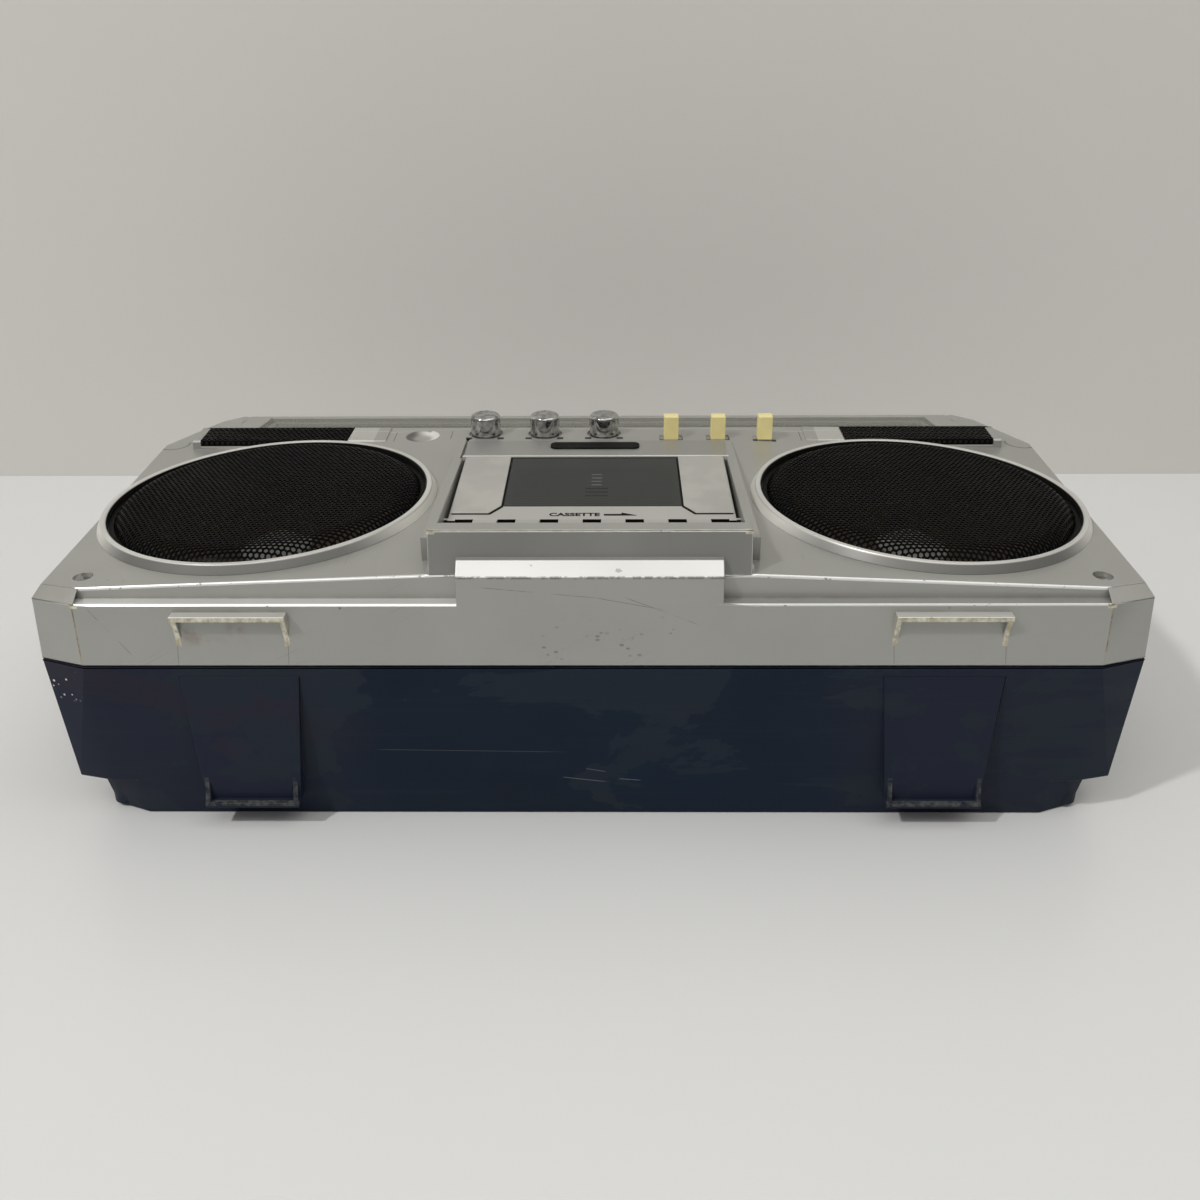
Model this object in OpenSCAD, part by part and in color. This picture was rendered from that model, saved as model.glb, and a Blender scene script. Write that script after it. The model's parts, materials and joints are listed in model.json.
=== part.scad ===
// Portable radio cassette player, lying on its back.
// X runs across the width, Y from the bottom face to the top, Z from the back face to the front.

/* [Cabinet] */
// Overall width of the cabinet
body_w = 480; // [468:1:500]
// Height of the cabinet, bottom face to top edge
body_h = 240; // [236:1:256]
// Depth of the rear cover, back face to seam
rear_d = 84; // [82:0.5:100]
// Depth of the front shell's side band, seam to ledge
band_d = 29.4; // [26:0.2:36]
// Rise of the front panel above the ledge at the middle
panel_rise = 10.9; // [10.4:0.1:11.6]
// Drop of the speaker panels from the middle to the sides
panel_fall = 7; // [5:0.1:7.4]
// Moulded wall thickness
wall_t = 2.6; // [2.2:0.1:2.8]
// Gap along the case seam
seam_gap = 0.8; // [0.4:0.1:1.2]
// Height that the moulded feet stand out of the bottom face
foot_h = 5.2; // [4:0.1:7]

/* [Speakers] */
// Inner radius of the woofer trim rings
ring_r = 75.7; // [70:0.1:76]
// Width of the trim rings
ring_w = 5.1; // [4:0.1:6]
// Height of the trim rings above the panel
ring_h = 3; // [2:0.1:4]
// Rise of the domed woofer grilles
dome_h = 7; // [5:0.1:9]
// Depth of the woofer basket
basket_d = 34; // [28:0.5:38]
// Length of each tweeter grille
tweeter_l = 80; // [70:1:84]

/* [Cassette deck] */
// Half width of the door opening
door_hw = 68.2; // [67.6:0.1:68.5]
// Gap between the door and its opening
door_gap = 1.8; // [1.2:0.1:2.2]
// Height of the chin over the front panel
chin_h = 18.5; // [16:0.1:20]
// Spacing of the six keys
key_pitch = 19.6; // [19:0.1:19.8]
// Travel of each key
key_travel = 5; // [4:0.1:5.4]
// Distance between the two reel spindles
spindle_gap = 42.5; // [42:0.1:43]

/* [Controls] */
// Diameter of the rotary knobs
knob_d = 16; // [14:0.5:17]
// Height of the rotary knobs
knob_h = 11; // [9:0.5:13]
// Spacing of the rotary knobs
knob_pitch = 32.3; // [30:0.1:34]
// Height of the slide levers
lever_h = 12.5; // [10:0.5:14]
// Travel of the slide levers each way
lever_travel = 2; // [1:0.1:2.2]
// Half length of the tuning dial
dial_hw = 190; // [180:1:192]

/* [Carrying] */
// Radius from the handle pivots to the grip
handle_r = 62; // [60:1:66]
// Radius of the antenna's outer tube
mast_r = 3.5; // [3.2:0.1:3.6]

/* [Hidden] */
$fn = 48;
run_gap = 0.05;
part_gap = 0.3;
draft = 1.5;
hx = body_w / 2;
cx = 70;
seam_z = rear_d;
ledge_z = seam_z + band_d;
panel_z = ledge_z + panel_rise;
side_z = panel_z - panel_fall;
panel_t = 3;
tilt = atan(panel_fall / (hx - cx));
plinth_z = 20;
taper = 4.9;
chin_z = panel_z + chin_h;
chin_y = 20.8;
pocket_y = body_h - 99;
deck_k = (pocket_y - chin_y) / 120.2;
deck_z = panel_z - 26.3;
deck_t = 2;
well_hw = door_hw + 2.4;
chin_hw = door_hw + 0.4;
strip_y = body_h - 55;
lever_y = body_h - 62;
bar_y = body_h - 63;
bar_w = 22;
bar_z = panel_z - 1.1;
rim_w = 1.2;
seat_d = 1.6;
crown_h = 0.9;
dial_y = body_h - 48;
dial_z = panel_z - 1.5;
dial_t = 4.4;
dial_a = atan((dial_z - ledge_z - 2.6) / (body_h - dial_y));
band_y = bar_y + bar_w + 0.8;
win_t = 2;
win_y = 11.6;
win_w = 30;
dial_l = dial_hw * hx / 240;
spk_x = (hx + door_hw + 5.8) / 2;
spk_y = (bar_y + 11.6) / 2;
spk_l = (spk_x - cx) / cos(tilt);
spk_k = min(hx - door_hw - 10.2, bar_y - 15.4) / 161.6;
spk_r = ring_r * spk_k;
cone_r = spk_r - 3.7;
bar_e = hx - cx - 20.4;
bar_k = (bar_e - 44) / 105.6;
twt_x = 44 + 21 * bar_k;
twt_l = tweeter_l * bar_k;
door_y = deck_at(58.6);
door_z = panel_z + 2.5;
door_t = 2.8;
pin_y = door_y + 1.9;
pin_z = panel_z + 1.1;
pin_r = 1.5;
door_x = door_hw - door_gap;
window_hw = 42;
rib_n = 13;
win_y0 = door_y + 17.2;
rib_p = (pocket_y - win_y0 - 7) / rib_n;
hold_hw = 51.6;
reel_y = deck_at(104);
cap_x = 24;
cap_y = deck_at(77);
roll_y = deck_at(64.4);
head_y = deck_at(59.5);
roll_r = 6;
fly_r = 30;
fly_z = deck_z - 10.5;
pulley_r = 5;
motor_x = -45;
motor_y = pocket_y + 19;
knob_x = [-27.7 - knob_pitch, -27.7, -27.7 + knob_pitch];
lever_x = [40.9, 66.1, 91.3];
key_x0 = -2.5 * key_pitch;
key_w = key_pitch - 2.2;
tip_w = 11.2;
notch_d = 1.6;
key_y = door_y - 0.7;
boss_f = [hx - 19, 18];
boss_t = [hx - 25, body_h - 77];
seat_z = ledge_z - 0.4;
dish_x = -94.8;
dish_r = 9.1;
dish_d = 2.1;
dish_s = (dish_r * dish_r + dish_d * dish_d) / (2 * dish_d);
dish_z = panel_z - (abs(dish_x) - cx) * tan(tilt);
boss_d = [[76, deck_at(26)], [76, pocket_y + 9]];
batt_hw = hx - 115;
batt_y0 = 17;
batt_y1 = 79;
batt_z = 39.5;
board_z = 58;
board_t = 1.6;
board_hw = hx - 100;
board_y0 = body_h - 88;
board_y1 = body_h - 14;
piv_x = hx - 17;
piv_y = body_h - 14;
piv_z = 70;
piv_r = 3;
arm_t = 8;
fold_a = 63;
mast_y = body_h + 7;
mast_z = 52;
mast_x = hx - 49;
mast_l = body_w - 124;
clip_x = hx - 120;
rod_r = mast_r - 0.75;
jack_y = body_h / 2 + 5;
jack_z = 44;
foot_x0 = hx - 111;
foot_x1 = hx - 62;

// Place along the deck between the chin and the end of the cassette pocket
function deck_at(y) = chin_y + (y - chin_y) * deck_k;

// Plan outline of the case, grown by g for the draft and inset by i for the wall
function outl(g, i) = [
    [-(hx - 20 - 0.2 * i), i - g],
    [hx - 20 - 0.2 * i, i - g],
    [hx + 0.6 * g - i, 6.8 - 0.5 * g + 0.72 * i],
    [hx + 0.6 * g - i, body_h - 53 - 0.27 * i],
    [hx - 31 + 0.5 * g - 0.57 * i, body_h + g - i],
    [-(hx - 31 + 0.5 * g - 0.57 * i), body_h + g - i],
    [-(hx + 0.6 * g - i), body_h - 53 - 0.27 * i],
    [-(hx + 0.6 * g - i), 6.8 - 0.5 * g + 0.72 * i]];

// Plan outline of the raised front panel
function capl(i) = [
    [-(hx - 21 - 0.2 * i), 6 + i],
    [hx - 21 - 0.2 * i, 6 + i],
    [hx - 2.5 - i, 12.6 + 0.72 * i],
    [hx - 2.5 - i, body_h - 54 - 0.27 * i],
    [hx - 32 - 0.57 * i, body_h - 1.5 - i],
    [-(hx - 32 - 0.57 * i), body_h - 1.5 - i],
    [-(hx - 2.5 - i), body_h - 54 - 0.27 * i],
    [-(hx - 2.5 - i), 12.6 + 0.72 * i]];

// Plan outline of the rear plinth
function plin(i) = [
    [-(hx - 31 - 0.2 * i), taper + i],
    [hx - 31 - 0.2 * i, taper + i],
    [hx - 11.4 - i, 13 + 0.72 * i],
    [hx - 11.4 - i, body_h - 62 - 0.27 * i],
    [hx - 41 - 0.57 * i, body_h - taper - i],
    [-(hx - 41 - 0.57 * i), body_h - taper - i],
    [-(hx - 11.4 - i), body_h - 62 - 0.27 * i],
    [-(hx - 11.4 - i), 13 + 0.72 * i]];

// Height of the sloping dial band at y
function slope_z(y) = dial_z - (y - dial_y) * tan(dial_a);

// Drop of the panel's inner face at the outer end of a slide switch at x
function sw_drop(x) = max(0, abs(x) + 11 - cx) * tan(tilt);

// Profile of the tweeter grilles, inset by o: two low sides and a shallow crown
function crown_pts(o) = concat(
    [[bar_y + rim_w + o, -seat_d - o]],
    [for (a = [0:15:180]) [bar_y + bar_w / 2 - (bar_w / 2 - rim_w - o) * cos(a), crown_h * sin(a) - 0.4 - o]],
    [[bar_y + bar_w - rim_w - o, -seat_d - o]]);

// Profile of the handle's grip
function grip_pts() = [[-6.5, -handle_r - 7], [4, -handle_r - 9], [7.5, -handle_r - 5],
    [7.5, -handle_r + 5], [4, -handle_r + 8], [-6.5, -handle_r + 7]];

module lay() {
    translate([0, -body_h / 2, 0]) children();
}

module slab(z, h, p) {
    translate([0, 0, z]) linear_extrude(h) polygon(p);
}

module box(a, b) {
    translate(a) cube(b - a);
}

module rod(p, r, h) {
    translate(p) cylinder(r = r, h = h);
}

module prof_x(x0, x1, p) {
    translate([x0, 0, 0]) rotate([90, 0, 90]) linear_extrude(x1 - x0) polygon(p);
}

module prof_y(y0, y1, p) {
    translate([0, y1, 0]) rotate([90, 0, 0]) linear_extrude(y1 - y0) polygon(p);
}

module both() {
    children();
    mirror([1, 0, 0]) children();
}

module on_panel() {
    translate([cx, 0, panel_z]) rotate([0, tilt, 0]) children();
}

module on_bar() {
    translate([cx, 0, bar_z]) children();
}

module on_dial() {
    translate([0, dial_y, dial_z]) rotate([-dial_a, 0, 0]) children();
}

module panel_prism(d) {
    prof_y(-5, body_h + 5, [
        [-hx, seam_z], [-hx, side_z - d], [-cx, panel_z - d],
        [cx, panel_z - d], [hx, side_z - d], [hx, seam_z]]);
}

module dial_wedge(d, w, y) {
    prof_x(-w, w, [
        [y, slope_z(y) - d], [body_h + 10, slope_z(body_h + 10) - d],
        [body_h + 10, panel_z + 60], [y, panel_z + 60]]);
}

module dial_block(d, e) {
    prof_x(-(hx - 36 - e), hx - 36 - e, [
        [band_y + e, ledge_z - wall_t - 0.5 * sign(e)], [band_y + e, slope_z(band_y + e) - d],
        [body_h - 1.5 - e, slope_z(body_h - 1.5 - e) - d], [body_h - 1.5 - e, ledge_z - wall_t - 0.5 * sign(e)]]);
}

module shell_skin() {
    difference() {
        union() {
            hull() {
                slab(seam_z + seam_gap / 2, 0.1, outl(draft, 0));
                slab(ledge_z - 0.1, 0.1, outl(0, 0));
            }
            difference() {
                intersection() {
                    slab(ledge_z - wall_t, 40, capl(0));
                    panel_prism(0);
                }
                dial_wedge(0, hx + 5, dial_y);
            }
            dial_block(0, 0);
        }
        hull() {
            slab(seam_z - 1, 0.1, outl(draft, wall_t));
            slab(ledge_z - wall_t - 0.1, 0.1, outl(0, wall_t));
        }
        difference() {
            intersection() {
                slab(ledge_z - wall_t - 0.5, 40, capl(wall_t));
                panel_prism(panel_t);
            }
            dial_wedge(dial_t, 113, dial_y);
            dial_wedge(dial_t, hx + 5, band_y);
        }
        dial_block(dial_t, wall_t);
    }
}

module chin() {
    prof_x(-chin_hw, chin_hw, [
        [6.1, ledge_z - 1], [6.4, panel_z], [10.8, chin_z - 0.5], [11.4, chin_z],
        [chin_y, chin_z - 0.6], [chin_y, deck_z + 8], [chin_y - 2.4, deck_z + 8],
        [chin_y - 2.4, chin_z - 3.2], [12.8, chin_z - 3], [9, panel_z], [8.7, ledge_z - 1]]);
    both() prof_x(chin_hw - 2.4, chin_hw, [
        [6.1, ledge_z - 1], [6.4, panel_z], [10.8, chin_z - 0.5], [11.4, chin_z],
        [chin_y, chin_z - 0.6], [chin_y, ledge_z - 1]]);
    difference() {
        prof_x(-56.5, 56.5, [
            [0, ledge_z - 2], [0, panel_z + 1.8], [5.5, panel_z + 7.3],
            [9.4, panel_z + 7.3], [9, ledge_z - 2]]);
        box([-54, 2.6, ledge_z - 3], [54, 6.2, panel_z]);
    }
}

module front_feet() {
    both() {
        box([foot_x0, -foot_h, ledge_z - 5.9], [foot_x1, 0.6, ledge_z - 3.4]);
        for (x = [foot_x0, foot_x1 - 2.6])
            prof_x(x, x + 2.6, [[-foot_h, ledge_z - 3.5], [0.6, ledge_z - 3.5], [0.6, ledge_z - 20]]);
    }
}

module front_shell() {
    color([0.59, 0.59, 0.56]) lay() difference() {
        union() {
            shell_skin();
            chin();
            front_feet();
            both() {
                prof_x(door_hw, door_hw + 5, [
                    [chin_y - 0.2, panel_z - 2], [chin_y - 0.2, panel_z + 10.9],
                    [pocket_y + 31, panel_z + 0.2], [pocket_y + 31, panel_z - 2]]);
                box([door_hw, chin_y - 0.4, deck_z + 8], [well_hw, pocket_y + 2.4, panel_z - 0.5]);
                rod([boss_f[0], boss_f[1], seam_z], 6.5, side_z - seam_z);
                rod([boss_t[0], boss_t[1], seam_z], 6, side_z - seam_z);
                for (p = boss_d) rod([p[0], p[1], deck_z], 4, panel_z - deck_z - 1);
                difference() {
                    on_bar() prof_x(44, bar_e, [[bar_y, -12], [bar_y, -0.9], [bar_y + 0.9, 0],
                        [bar_y + bar_w - 0.9, 0], [bar_y + bar_w, -0.9], [bar_y + bar_w, -12]]);
                    on_bar() box([twt_x - 0.2, bar_y + rim_w - 0.2, -seat_d], [twt_x + twt_l + 0.2, bar_y + bar_w - rim_w + 0.2, 5]);
                    on_panel() box([30, bar_y - 5, -40], [bar_e + 20, bar_y + bar_w + 5, -1]);
                }
            }
            box([-well_hw, pocket_y, deck_z + 8], [well_hw, pocket_y + 2.4, panel_z]);
            box([-door_hw - 1, pocket_y, panel_z - 1], [door_hw + 1, pocket_y + 29, panel_z + 1.2]);
        }
        box([-door_hw, chin_y, deck_z], [door_hw, pocket_y, chin_z + 20]);
        both() {
            translate([door_hw - 1, pin_y, pin_z]) rotate([0, 90, 0]) cylinder(r = pin_r + run_gap, h = 4);
            rod([boss_f[0], boss_f[1], seat_z], 4.35, 40);
            rod([boss_f[0], boss_f[1], seam_z - 1], 1.8, 40);
            rod([boss_t[0], boss_t[1], seam_z - 1], 1.55, 22);
            on_panel() {
                rod([spk_l, spk_y, -12], cone_r, 30);
                box([twt_x + 5, bar_y + 4, -8], [twt_x + twt_l - 5, bar_y + bar_w - 4, 9]);
            }
        }
        for (x = knob_x) {
            rod([x, strip_y, panel_z - 0.8], knob_d / 2 + 1.2, 5);
            rod([x, strip_y, panel_z - 10], 3.6, 12);
        }
        for (x = lever_x) {
            box([x - 6, lever_y - 4, panel_z - 0.8], [x + 6, lever_y + 4, panel_z + 5]);
            box([x - 1.8 - lever_travel, lever_y - 1.8, panel_z - 10], [x + 1.8 + lever_travel, lever_y + 1.8, panel_z + 5]);
        }
        translate([dish_x, strip_y - 1, dish_z - dish_d + dish_s]) sphere(r = dish_s, $fn = 96);
        box([-door_hw - 1.2, pocket_y - 1, panel_z - 1], [-door_hw, pocket_y + 34, panel_z + 5]);
        rod([-door_hw - 0.6, pocket_y + 34.6, panel_z - 1], 1.2, 6);
        on_dial() {
            box([-dial_l - part_gap, win_y - part_gap, -win_t - 0.4], [dial_l + part_gap, win_y + win_w + part_gap, 5]);
            box([-dial_l + 3, win_y + 3, -12], [dial_l - 3, win_y + win_w - 3, 5]);
        }
    }
}

module rear_cover() {
    color([0.15, 0.18, 0.23]) lay() difference() {
        union() {
            difference() {
                union() {
                    hull() {
                        slab(seam_z - seam_gap / 2 - 0.1, 0.1, outl(draft, 0));
                        slab(plinth_z, 0.1, outl(-taper, 0));
                    }
                    hull() {
                        slab(plinth_z, 0.1, plin(0));
                        slab(0, 0.1, plin(3.5));
                    }
                }
                hull() {
                    slab(seam_z + 1, 0.1, outl(draft, wall_t));
                    slab(plinth_z + wall_t, 0.1, outl(-taper, wall_t));
                }
                hull() {
                    slab(plinth_z + wall_t + 0.1, 0.1, plin(wall_t));
                    slab(wall_t, 0.1, plin(3.5 + wall_t));
                }
            }
            box([-batt_hw - 9, batt_y0 - 7, 0], [batt_hw + 9, batt_y1 + 9, batt_z + 2.5]);
            both() {
                rod([boss_f[0], boss_f[1], 2], 6, seam_z - 2);
                rod([boss_t[0], boss_t[1], 2], 6.5, seam_z - 2);
                for (y = [board_y0 + 8, board_y1 - 8]) rod([board_hw - 8, y, 1], 4, board_z - 1);
                translate([piv_x - 14, piv_y, piv_z]) rotate([0, 90, 0]) cylinder(r = 8, h = 14);
                translate([piv_x - 1, piv_y, piv_z]) rotate([0, 90, 0]) cylinder(r = piv_r, h = arm_t + 2.2);
                translate([piv_x + arm_t + 0.8, piv_y, piv_z]) rotate([0, 90, 0]) cylinder(r = 5, h = 2.2);
                prof_y(-1.2, 9, [[foot_x0 - 2.4, seam_z - 5], [foot_x1 + 1.6, seam_z - 5],
                    [foot_x1 - 2, 12], [foot_x0 + 4.5, 12]]);
                box([foot_x0 + 4.5, -foot_h, 12], [foot_x1 - 2, 0, 14.6]);
                for (x = [foot_x0 + 4.5, foot_x1 - 4.6])
                    prof_x(x, x + 2.6, [[-foot_h, 12], [0, 12], [0, 24], [-1.2, 24]]);
            }
            box([mast_x - 11, body_h - 9, mast_z - 10], [mast_x + 11, body_h + 1, mast_z + 10]);
            for (s = [-1, 1])
                box([-clip_x - 6, body_h - 9, mast_z + s * (mast_r + 1.65) - 1.25], [6 - clip_x, mast_y + mast_r, mast_z + s * (mast_r + 1.65) + 1.25]);
            box([hx - 14, jack_y - 19, jack_z - 16], [hx - 4, jack_y + 19, jack_z + 16]);
        }
        box([-batt_hw, batt_y0, -1], [batt_hw, batt_y1, batt_z]);
        box([-batt_hw - 4.3, batt_y0 - 4.3, -1], [batt_hw + 4.3, batt_y1 + 4.3, 2.4]);
        both() {
            rod([boss_f[0], boss_f[1], seam_z - 30], 1.55, 40);
            rod([boss_t[0], boss_t[1], -1], 4.35, seam_z - 23);
            rod([boss_t[0], boss_t[1], 10], 1.8, 90);
        }
        box([hx - 10, jack_y - 16, jack_z - 13], [hx + 9, jack_y + 16, jack_z + 13]);
        box([hx - 20, jack_y - 13, jack_z - 6], [hx, jack_y + 1, jack_z + 6]);
        for (z = [-6, 6]) translate([hx - 20, jack_y + 9, jack_z + z]) rotate([0, 90, 0]) cylinder(r = 3.2, h = 20);
    }
}

module battery_door() {
    color([0.15, 0.18, 0.23]) lay() difference() {
        box([-batt_hw - 4, batt_y0 - 4, 0], [batt_hw + 4, batt_y1 + 4, 2.4]);
        for (i = [-2:2]) box([i * 8 - 1, batt_y1 - 16, -1], [i * 8 + 1, batt_y1 - 4, 0.8]);
    }
}

module case_screws() {
    color([0.7, 0.7, 0.72]) lay() both() {
        difference() {
            union() {
                rod([boss_f[0], boss_f[1], seat_z], 3.6, 2.4);
                rod([boss_f[0], boss_f[1], seam_z - 24], 1.5, seat_z - seam_z + 25);
            }
            box([boss_f[0] - 2.4, boss_f[1] - 0.4, seat_z + 1.4], [boss_f[0] + 2.4, boss_f[1] + 0.4, seat_z + 5]);
            box([boss_f[0] - 0.4, boss_f[1] - 2.4, seat_z + 1.4], [boss_f[0] + 0.4, boss_f[1] + 2.4, seat_z + 5]);
        }
        difference() {
            union() {
                rod([boss_t[0], boss_t[1], seam_z - 26.4], 3.6, 2.4);
                rod([boss_t[0], boss_t[1], seam_z - 25], 1.5, 42);
            }
            box([boss_t[0] - 2.4, boss_t[1] - 0.4, 0], [boss_t[0] + 2.4, boss_t[1] + 0.4, seam_z - 25.4]);
            box([boss_t[0] - 0.4, boss_t[1] - 2.4, 0], [boss_t[0] + 0.4, boss_t[1] + 2.4, seam_z - 25.4]);
        }
    }
}

module trim_ring() {
    color([0.72, 0.72, 0.69]) lay() on_panel() translate([spk_l, spk_y, 0]) rotate_extrude($fn = 128)
        polygon([[spk_r, 0], [spk_r + ring_w, 0], [spk_r + ring_w - 0.5, ring_h],
            [spk_r + 0.8, ring_h], [spk_r, ring_h - 1.2]]);
}

module grille_holes() {
    p = spk_r / 6;
    for (i = [-5:5], j = [-5:5]) if (p * norm([i, j]) < spk_r - 14)
        translate([p * i, p * j, 0]) box([-0.38 * p, -0.38 * p, -1], [0.38 * p, 0.38 * p, dome_h + 5]);
}

module woofer_grille() {
    color([0.06, 0.06, 0.06]) lay() on_panel() translate([spk_l, spk_y, 0]) difference() {
        rotate_extrude($fn = 128) polygon([
            [0, dome_h + 1], [spk_r - 16, dome_h - 0.4], [spk_r - 6, dome_h - 2.4], [spk_r - 2.6, 1],
            [spk_r - part_gap, 1], [spk_r - part_gap, 0], [spk_r - 3.5, 0], [spk_r - 7, dome_h - 3.4],
            [spk_r - 16, dome_h - 1.4], [0, dome_h]]);
        grille_holes();
    }
}

module woofer_frame() {
    color([0.3, 0.3, 0.31]) lay() on_panel() translate([spk_l, spk_y, -panel_t]) difference() {
        rotate_extrude($fn = 96) polygon([
            [spk_r + 1.2, -1], [spk_r + 1.2, -2.6], [cone_r, -2.6], [38 * spk_k, -basket_d], [37 * spk_k, -basket_d - 1.6],
            [34 * spk_k, -basket_d - 1.6], [34 * spk_k, -basket_d - 16], [0, -basket_d - 16], [0, -basket_d - 6], [12, -basket_d - 6],
            [12, -basket_d], [36 * spk_k, -basket_d], [cone_r - 2, -1]]);
        for (a = [0:90:270]) rotate([0, 0, a + 20]) translate([42 * spk_k, -16 * spk_k, -basket_d + 4])
            cube([26 * spk_k, 32 * spk_k, basket_d - 9]);
    }
}

module woofer_cone() {
    color([0.3, 0.2, 0.13]) lay() on_panel() translate([spk_l, spk_y, -panel_t]) rotate_extrude($fn = 96)
        polygon([[cone_r + 3, 0], [cone_r + 3, -1], [cone_r - 4, -1], [cone_r - 7, -3.2], [cone_r - 12, -1.6],
            [19, -22], [11.6, -basket_d + 6], [11.6, -basket_d - 3], [10.6, -basket_d - 3], [10.6, -21.4],
            [0, -14.6], [0, -13.8], [9, -15.2], [18.6, -20.6], [cone_r - 12, -0.6], [cone_r - 7, -2.2],
            [cone_r - 4, 0]]);
}

module tweeter_grille() {
    color([0.06, 0.06, 0.06]) lay() on_bar() difference() {
        prof_x(twt_x, twt_x + twt_l, crown_pts(0));
        prof_x(twt_x + 1, twt_x + twt_l - 1, crown_pts(1));
    }
}

module tweeter() {
    color([0.2, 0.2, 0.2]) lay() on_panel() translate([twt_x + twt_l / 2, bar_y + bar_w / 2, -panel_t]) {
        difference() {
            box([-0.475 * twt_l, -11, -2], [0.475 * twt_l, 10.4, 0]);
            rod([0, 0, -1], 7, 4);
        }
        rod([0, 0, -8], 10, 6);
        rod([0, 0, -16], 8, 8);
    }
}

module dial_window() {
    color([0.5, 0.52, 0.44, 0.5]) lay() on_dial()
        box([-dial_l, win_y, -win_t - 0.4], [dial_l, win_y + win_w, -0.4]);
}

module dial_scale() {
    color([0.12, 0.13, 0.12]) lay() on_dial() translate([0, 0, dial_t - dial_t * cos(dial_a)]) {
        difference() {
            box([-dial_l - 2, win_y - 0.2, -dial_t - 1.2], [dial_l + 2, win_y + win_w + 1, -dial_t]);
            box([-dial_l + 12, win_y + 22, -9], [dial_l - 12, win_y + 26, 0]);
        }
        for (x = [-dial_l + 4, dial_l - 6]) box([x, win_y + 20, -dial_t - 9], [x + 2, win_y + 28, -dial_t - 1.2]);
        translate([-dial_l + 5, win_y + 24, -dial_t - 6]) rotate([0, 90, 0]) cylinder(r = 1.5, h = 2 * dial_l - 10);
    }
}

module dial_pointer() {
    color([0.85, 0.2, 0.1]) lay() on_dial() difference() {
        union() {
            box([-0.6, win_y + 4, -win_t - 1.6], [0.6, win_y + win_w - 4.5, -win_t - 0.8]);
            box([-0.6, win_y + 23, -dial_t - 4], [0.6, win_y + 25, -win_t - 0.8]);
            box([-5, win_y + 21, -dial_t - 8.4], [5, win_y + 27, -dial_t - 2.4]);
        }
        translate([-6, win_y + 24, -dial_t - 6]) rotate([0, 90, 0]) cylinder(r = 1.5 + run_gap, h = 12);
    }
}

module rotary_knob(i) {
    color([0.75, 0.75, 0.75]) lay() translate([knob_x[i], strip_y, panel_z]) {
        difference() {
            rotate_extrude() polygon([[0, knob_h], [knob_d / 2 - 1, knob_h], [knob_d / 2 - 0.3, knob_h - 0.7],
                [knob_d / 2, 0.4], [knob_d / 2, -0.4], [0, -0.4]]);
            box([-0.4, knob_d / 2 - 4.5, knob_h - 0.6], [0.4, knob_d / 2 + 1, knob_h + 1]);
        }
        rod([0, 0, -9.5], 3, 10);
    }
}

module control_pots() {
    color([0.45, 0.46, 0.44]) lay() for (x = knob_x) difference() {
        union() {
            rod([x, strip_y, panel_z - panel_t - 10], 6.8, 10);
            rod([x, strip_y, panel_z - panel_t - 1], 3.5, 2.8);
        }
        rod([x, strip_y, panel_z - 10], 3 + run_gap, 20);
    }
}

module slide_lever(i) {
    color([0.84, 0.78, 0.52]) lay() translate([lever_x[i], lever_y, panel_z]) {
        box([-4, -3.5, -0.4], [4, 3.5, lever_h]);
        box([-1.5, -1.5, -7], [1.5, 1.5, 0]);
    }
}

module slide_switches() {
    color([0.4, 0.4, 0.38]) lay() for (x = lever_x) difference() {
        translate([x, lever_y, panel_z - panel_t - sw_drop(x)]) box([-11, -4.5, -7], [11, 4.5, 0]);
        box([x - 1.8 - lever_travel, lever_y - 1.8, panel_z - panel_t - 4.6], [x + 1.8 + lever_travel, lever_y + 1.8, panel_z]);
    }
}

module cassette_door() {
    color([0.62, 0.62, 0.59]) lay() {
        difference() {
            box([-door_x, door_y, door_z - door_t], [door_x, pocket_y - 0.6, door_z]);
            box([-window_hw - 0.3, win_y0 - 0.3, door_z - 1.7], [window_hw + 0.3, pocket_y, door_z + 1]);
            box([-window_hw + 2.4, win_y0 + 2, door_z - 5], [window_hw - 2.4, pocket_y - 3.4, door_z + 1]);
            for (i = [0:6]) translate([key_x0 + (i - 0.5) * key_pitch, door_y, door_z])
                box([(tip_w - key_pitch) / 2, -1, -door_t - 1], [(key_pitch - tip_w) / 2, notch_d, 1]);
        }
        both() translate([door_x - 1, pin_y, pin_z]) rotate([0, 90, 0]) cylinder(r = pin_r, h = door_gap + 3.2);
    }
}

module door_window() {
    color([0.15, 0.16, 0.16, 0.7]) lay() difference() {
        box([-window_hw, win_y0, door_z - 1.7], [window_hw, pocket_y - 0.6, door_z]);
        for (i = [0:rib_n - 1]) translate([0, win_y0 + 3.6 + i * rib_p, door_z])
            box([3 - window_hw, 0, -0.3], [window_hw - 3, 0.7, 1]);
    }
}

module door_side_plates() {
    color([0.7, 0.7, 0.67]) lay() both() translate([0, 0, door_z]) linear_extrude(0.6) polygon([
        [window_hw + 0.9, pocket_y - 0.8], [window_hw + 0.9, win_y0 - 0.6], [window_hw + 6.2, door_y + 7.8],
        [door_x - 0.4, door_y + 7.8], [door_x - 0.4, pocket_y - 0.8]]);
}

module cassette_holder() {
    color([0.12, 0.12, 0.12]) lay() both() {
        box([hold_hw, door_y + 9.4, panel_z - 15.6], [hold_hw + 2, pocket_y - 4, door_z - door_t]);
        box([hold_hw - 4.6, door_y + 9.4, panel_z - 15.6], [hold_hw + 1, pocket_y - 4, panel_z - 14.2]);
        box([hold_hw - 11, door_y + 8.4, panel_z - 15.6], [hold_hw + 2, door_y + 10, door_z - door_t]);
    }
}

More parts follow.
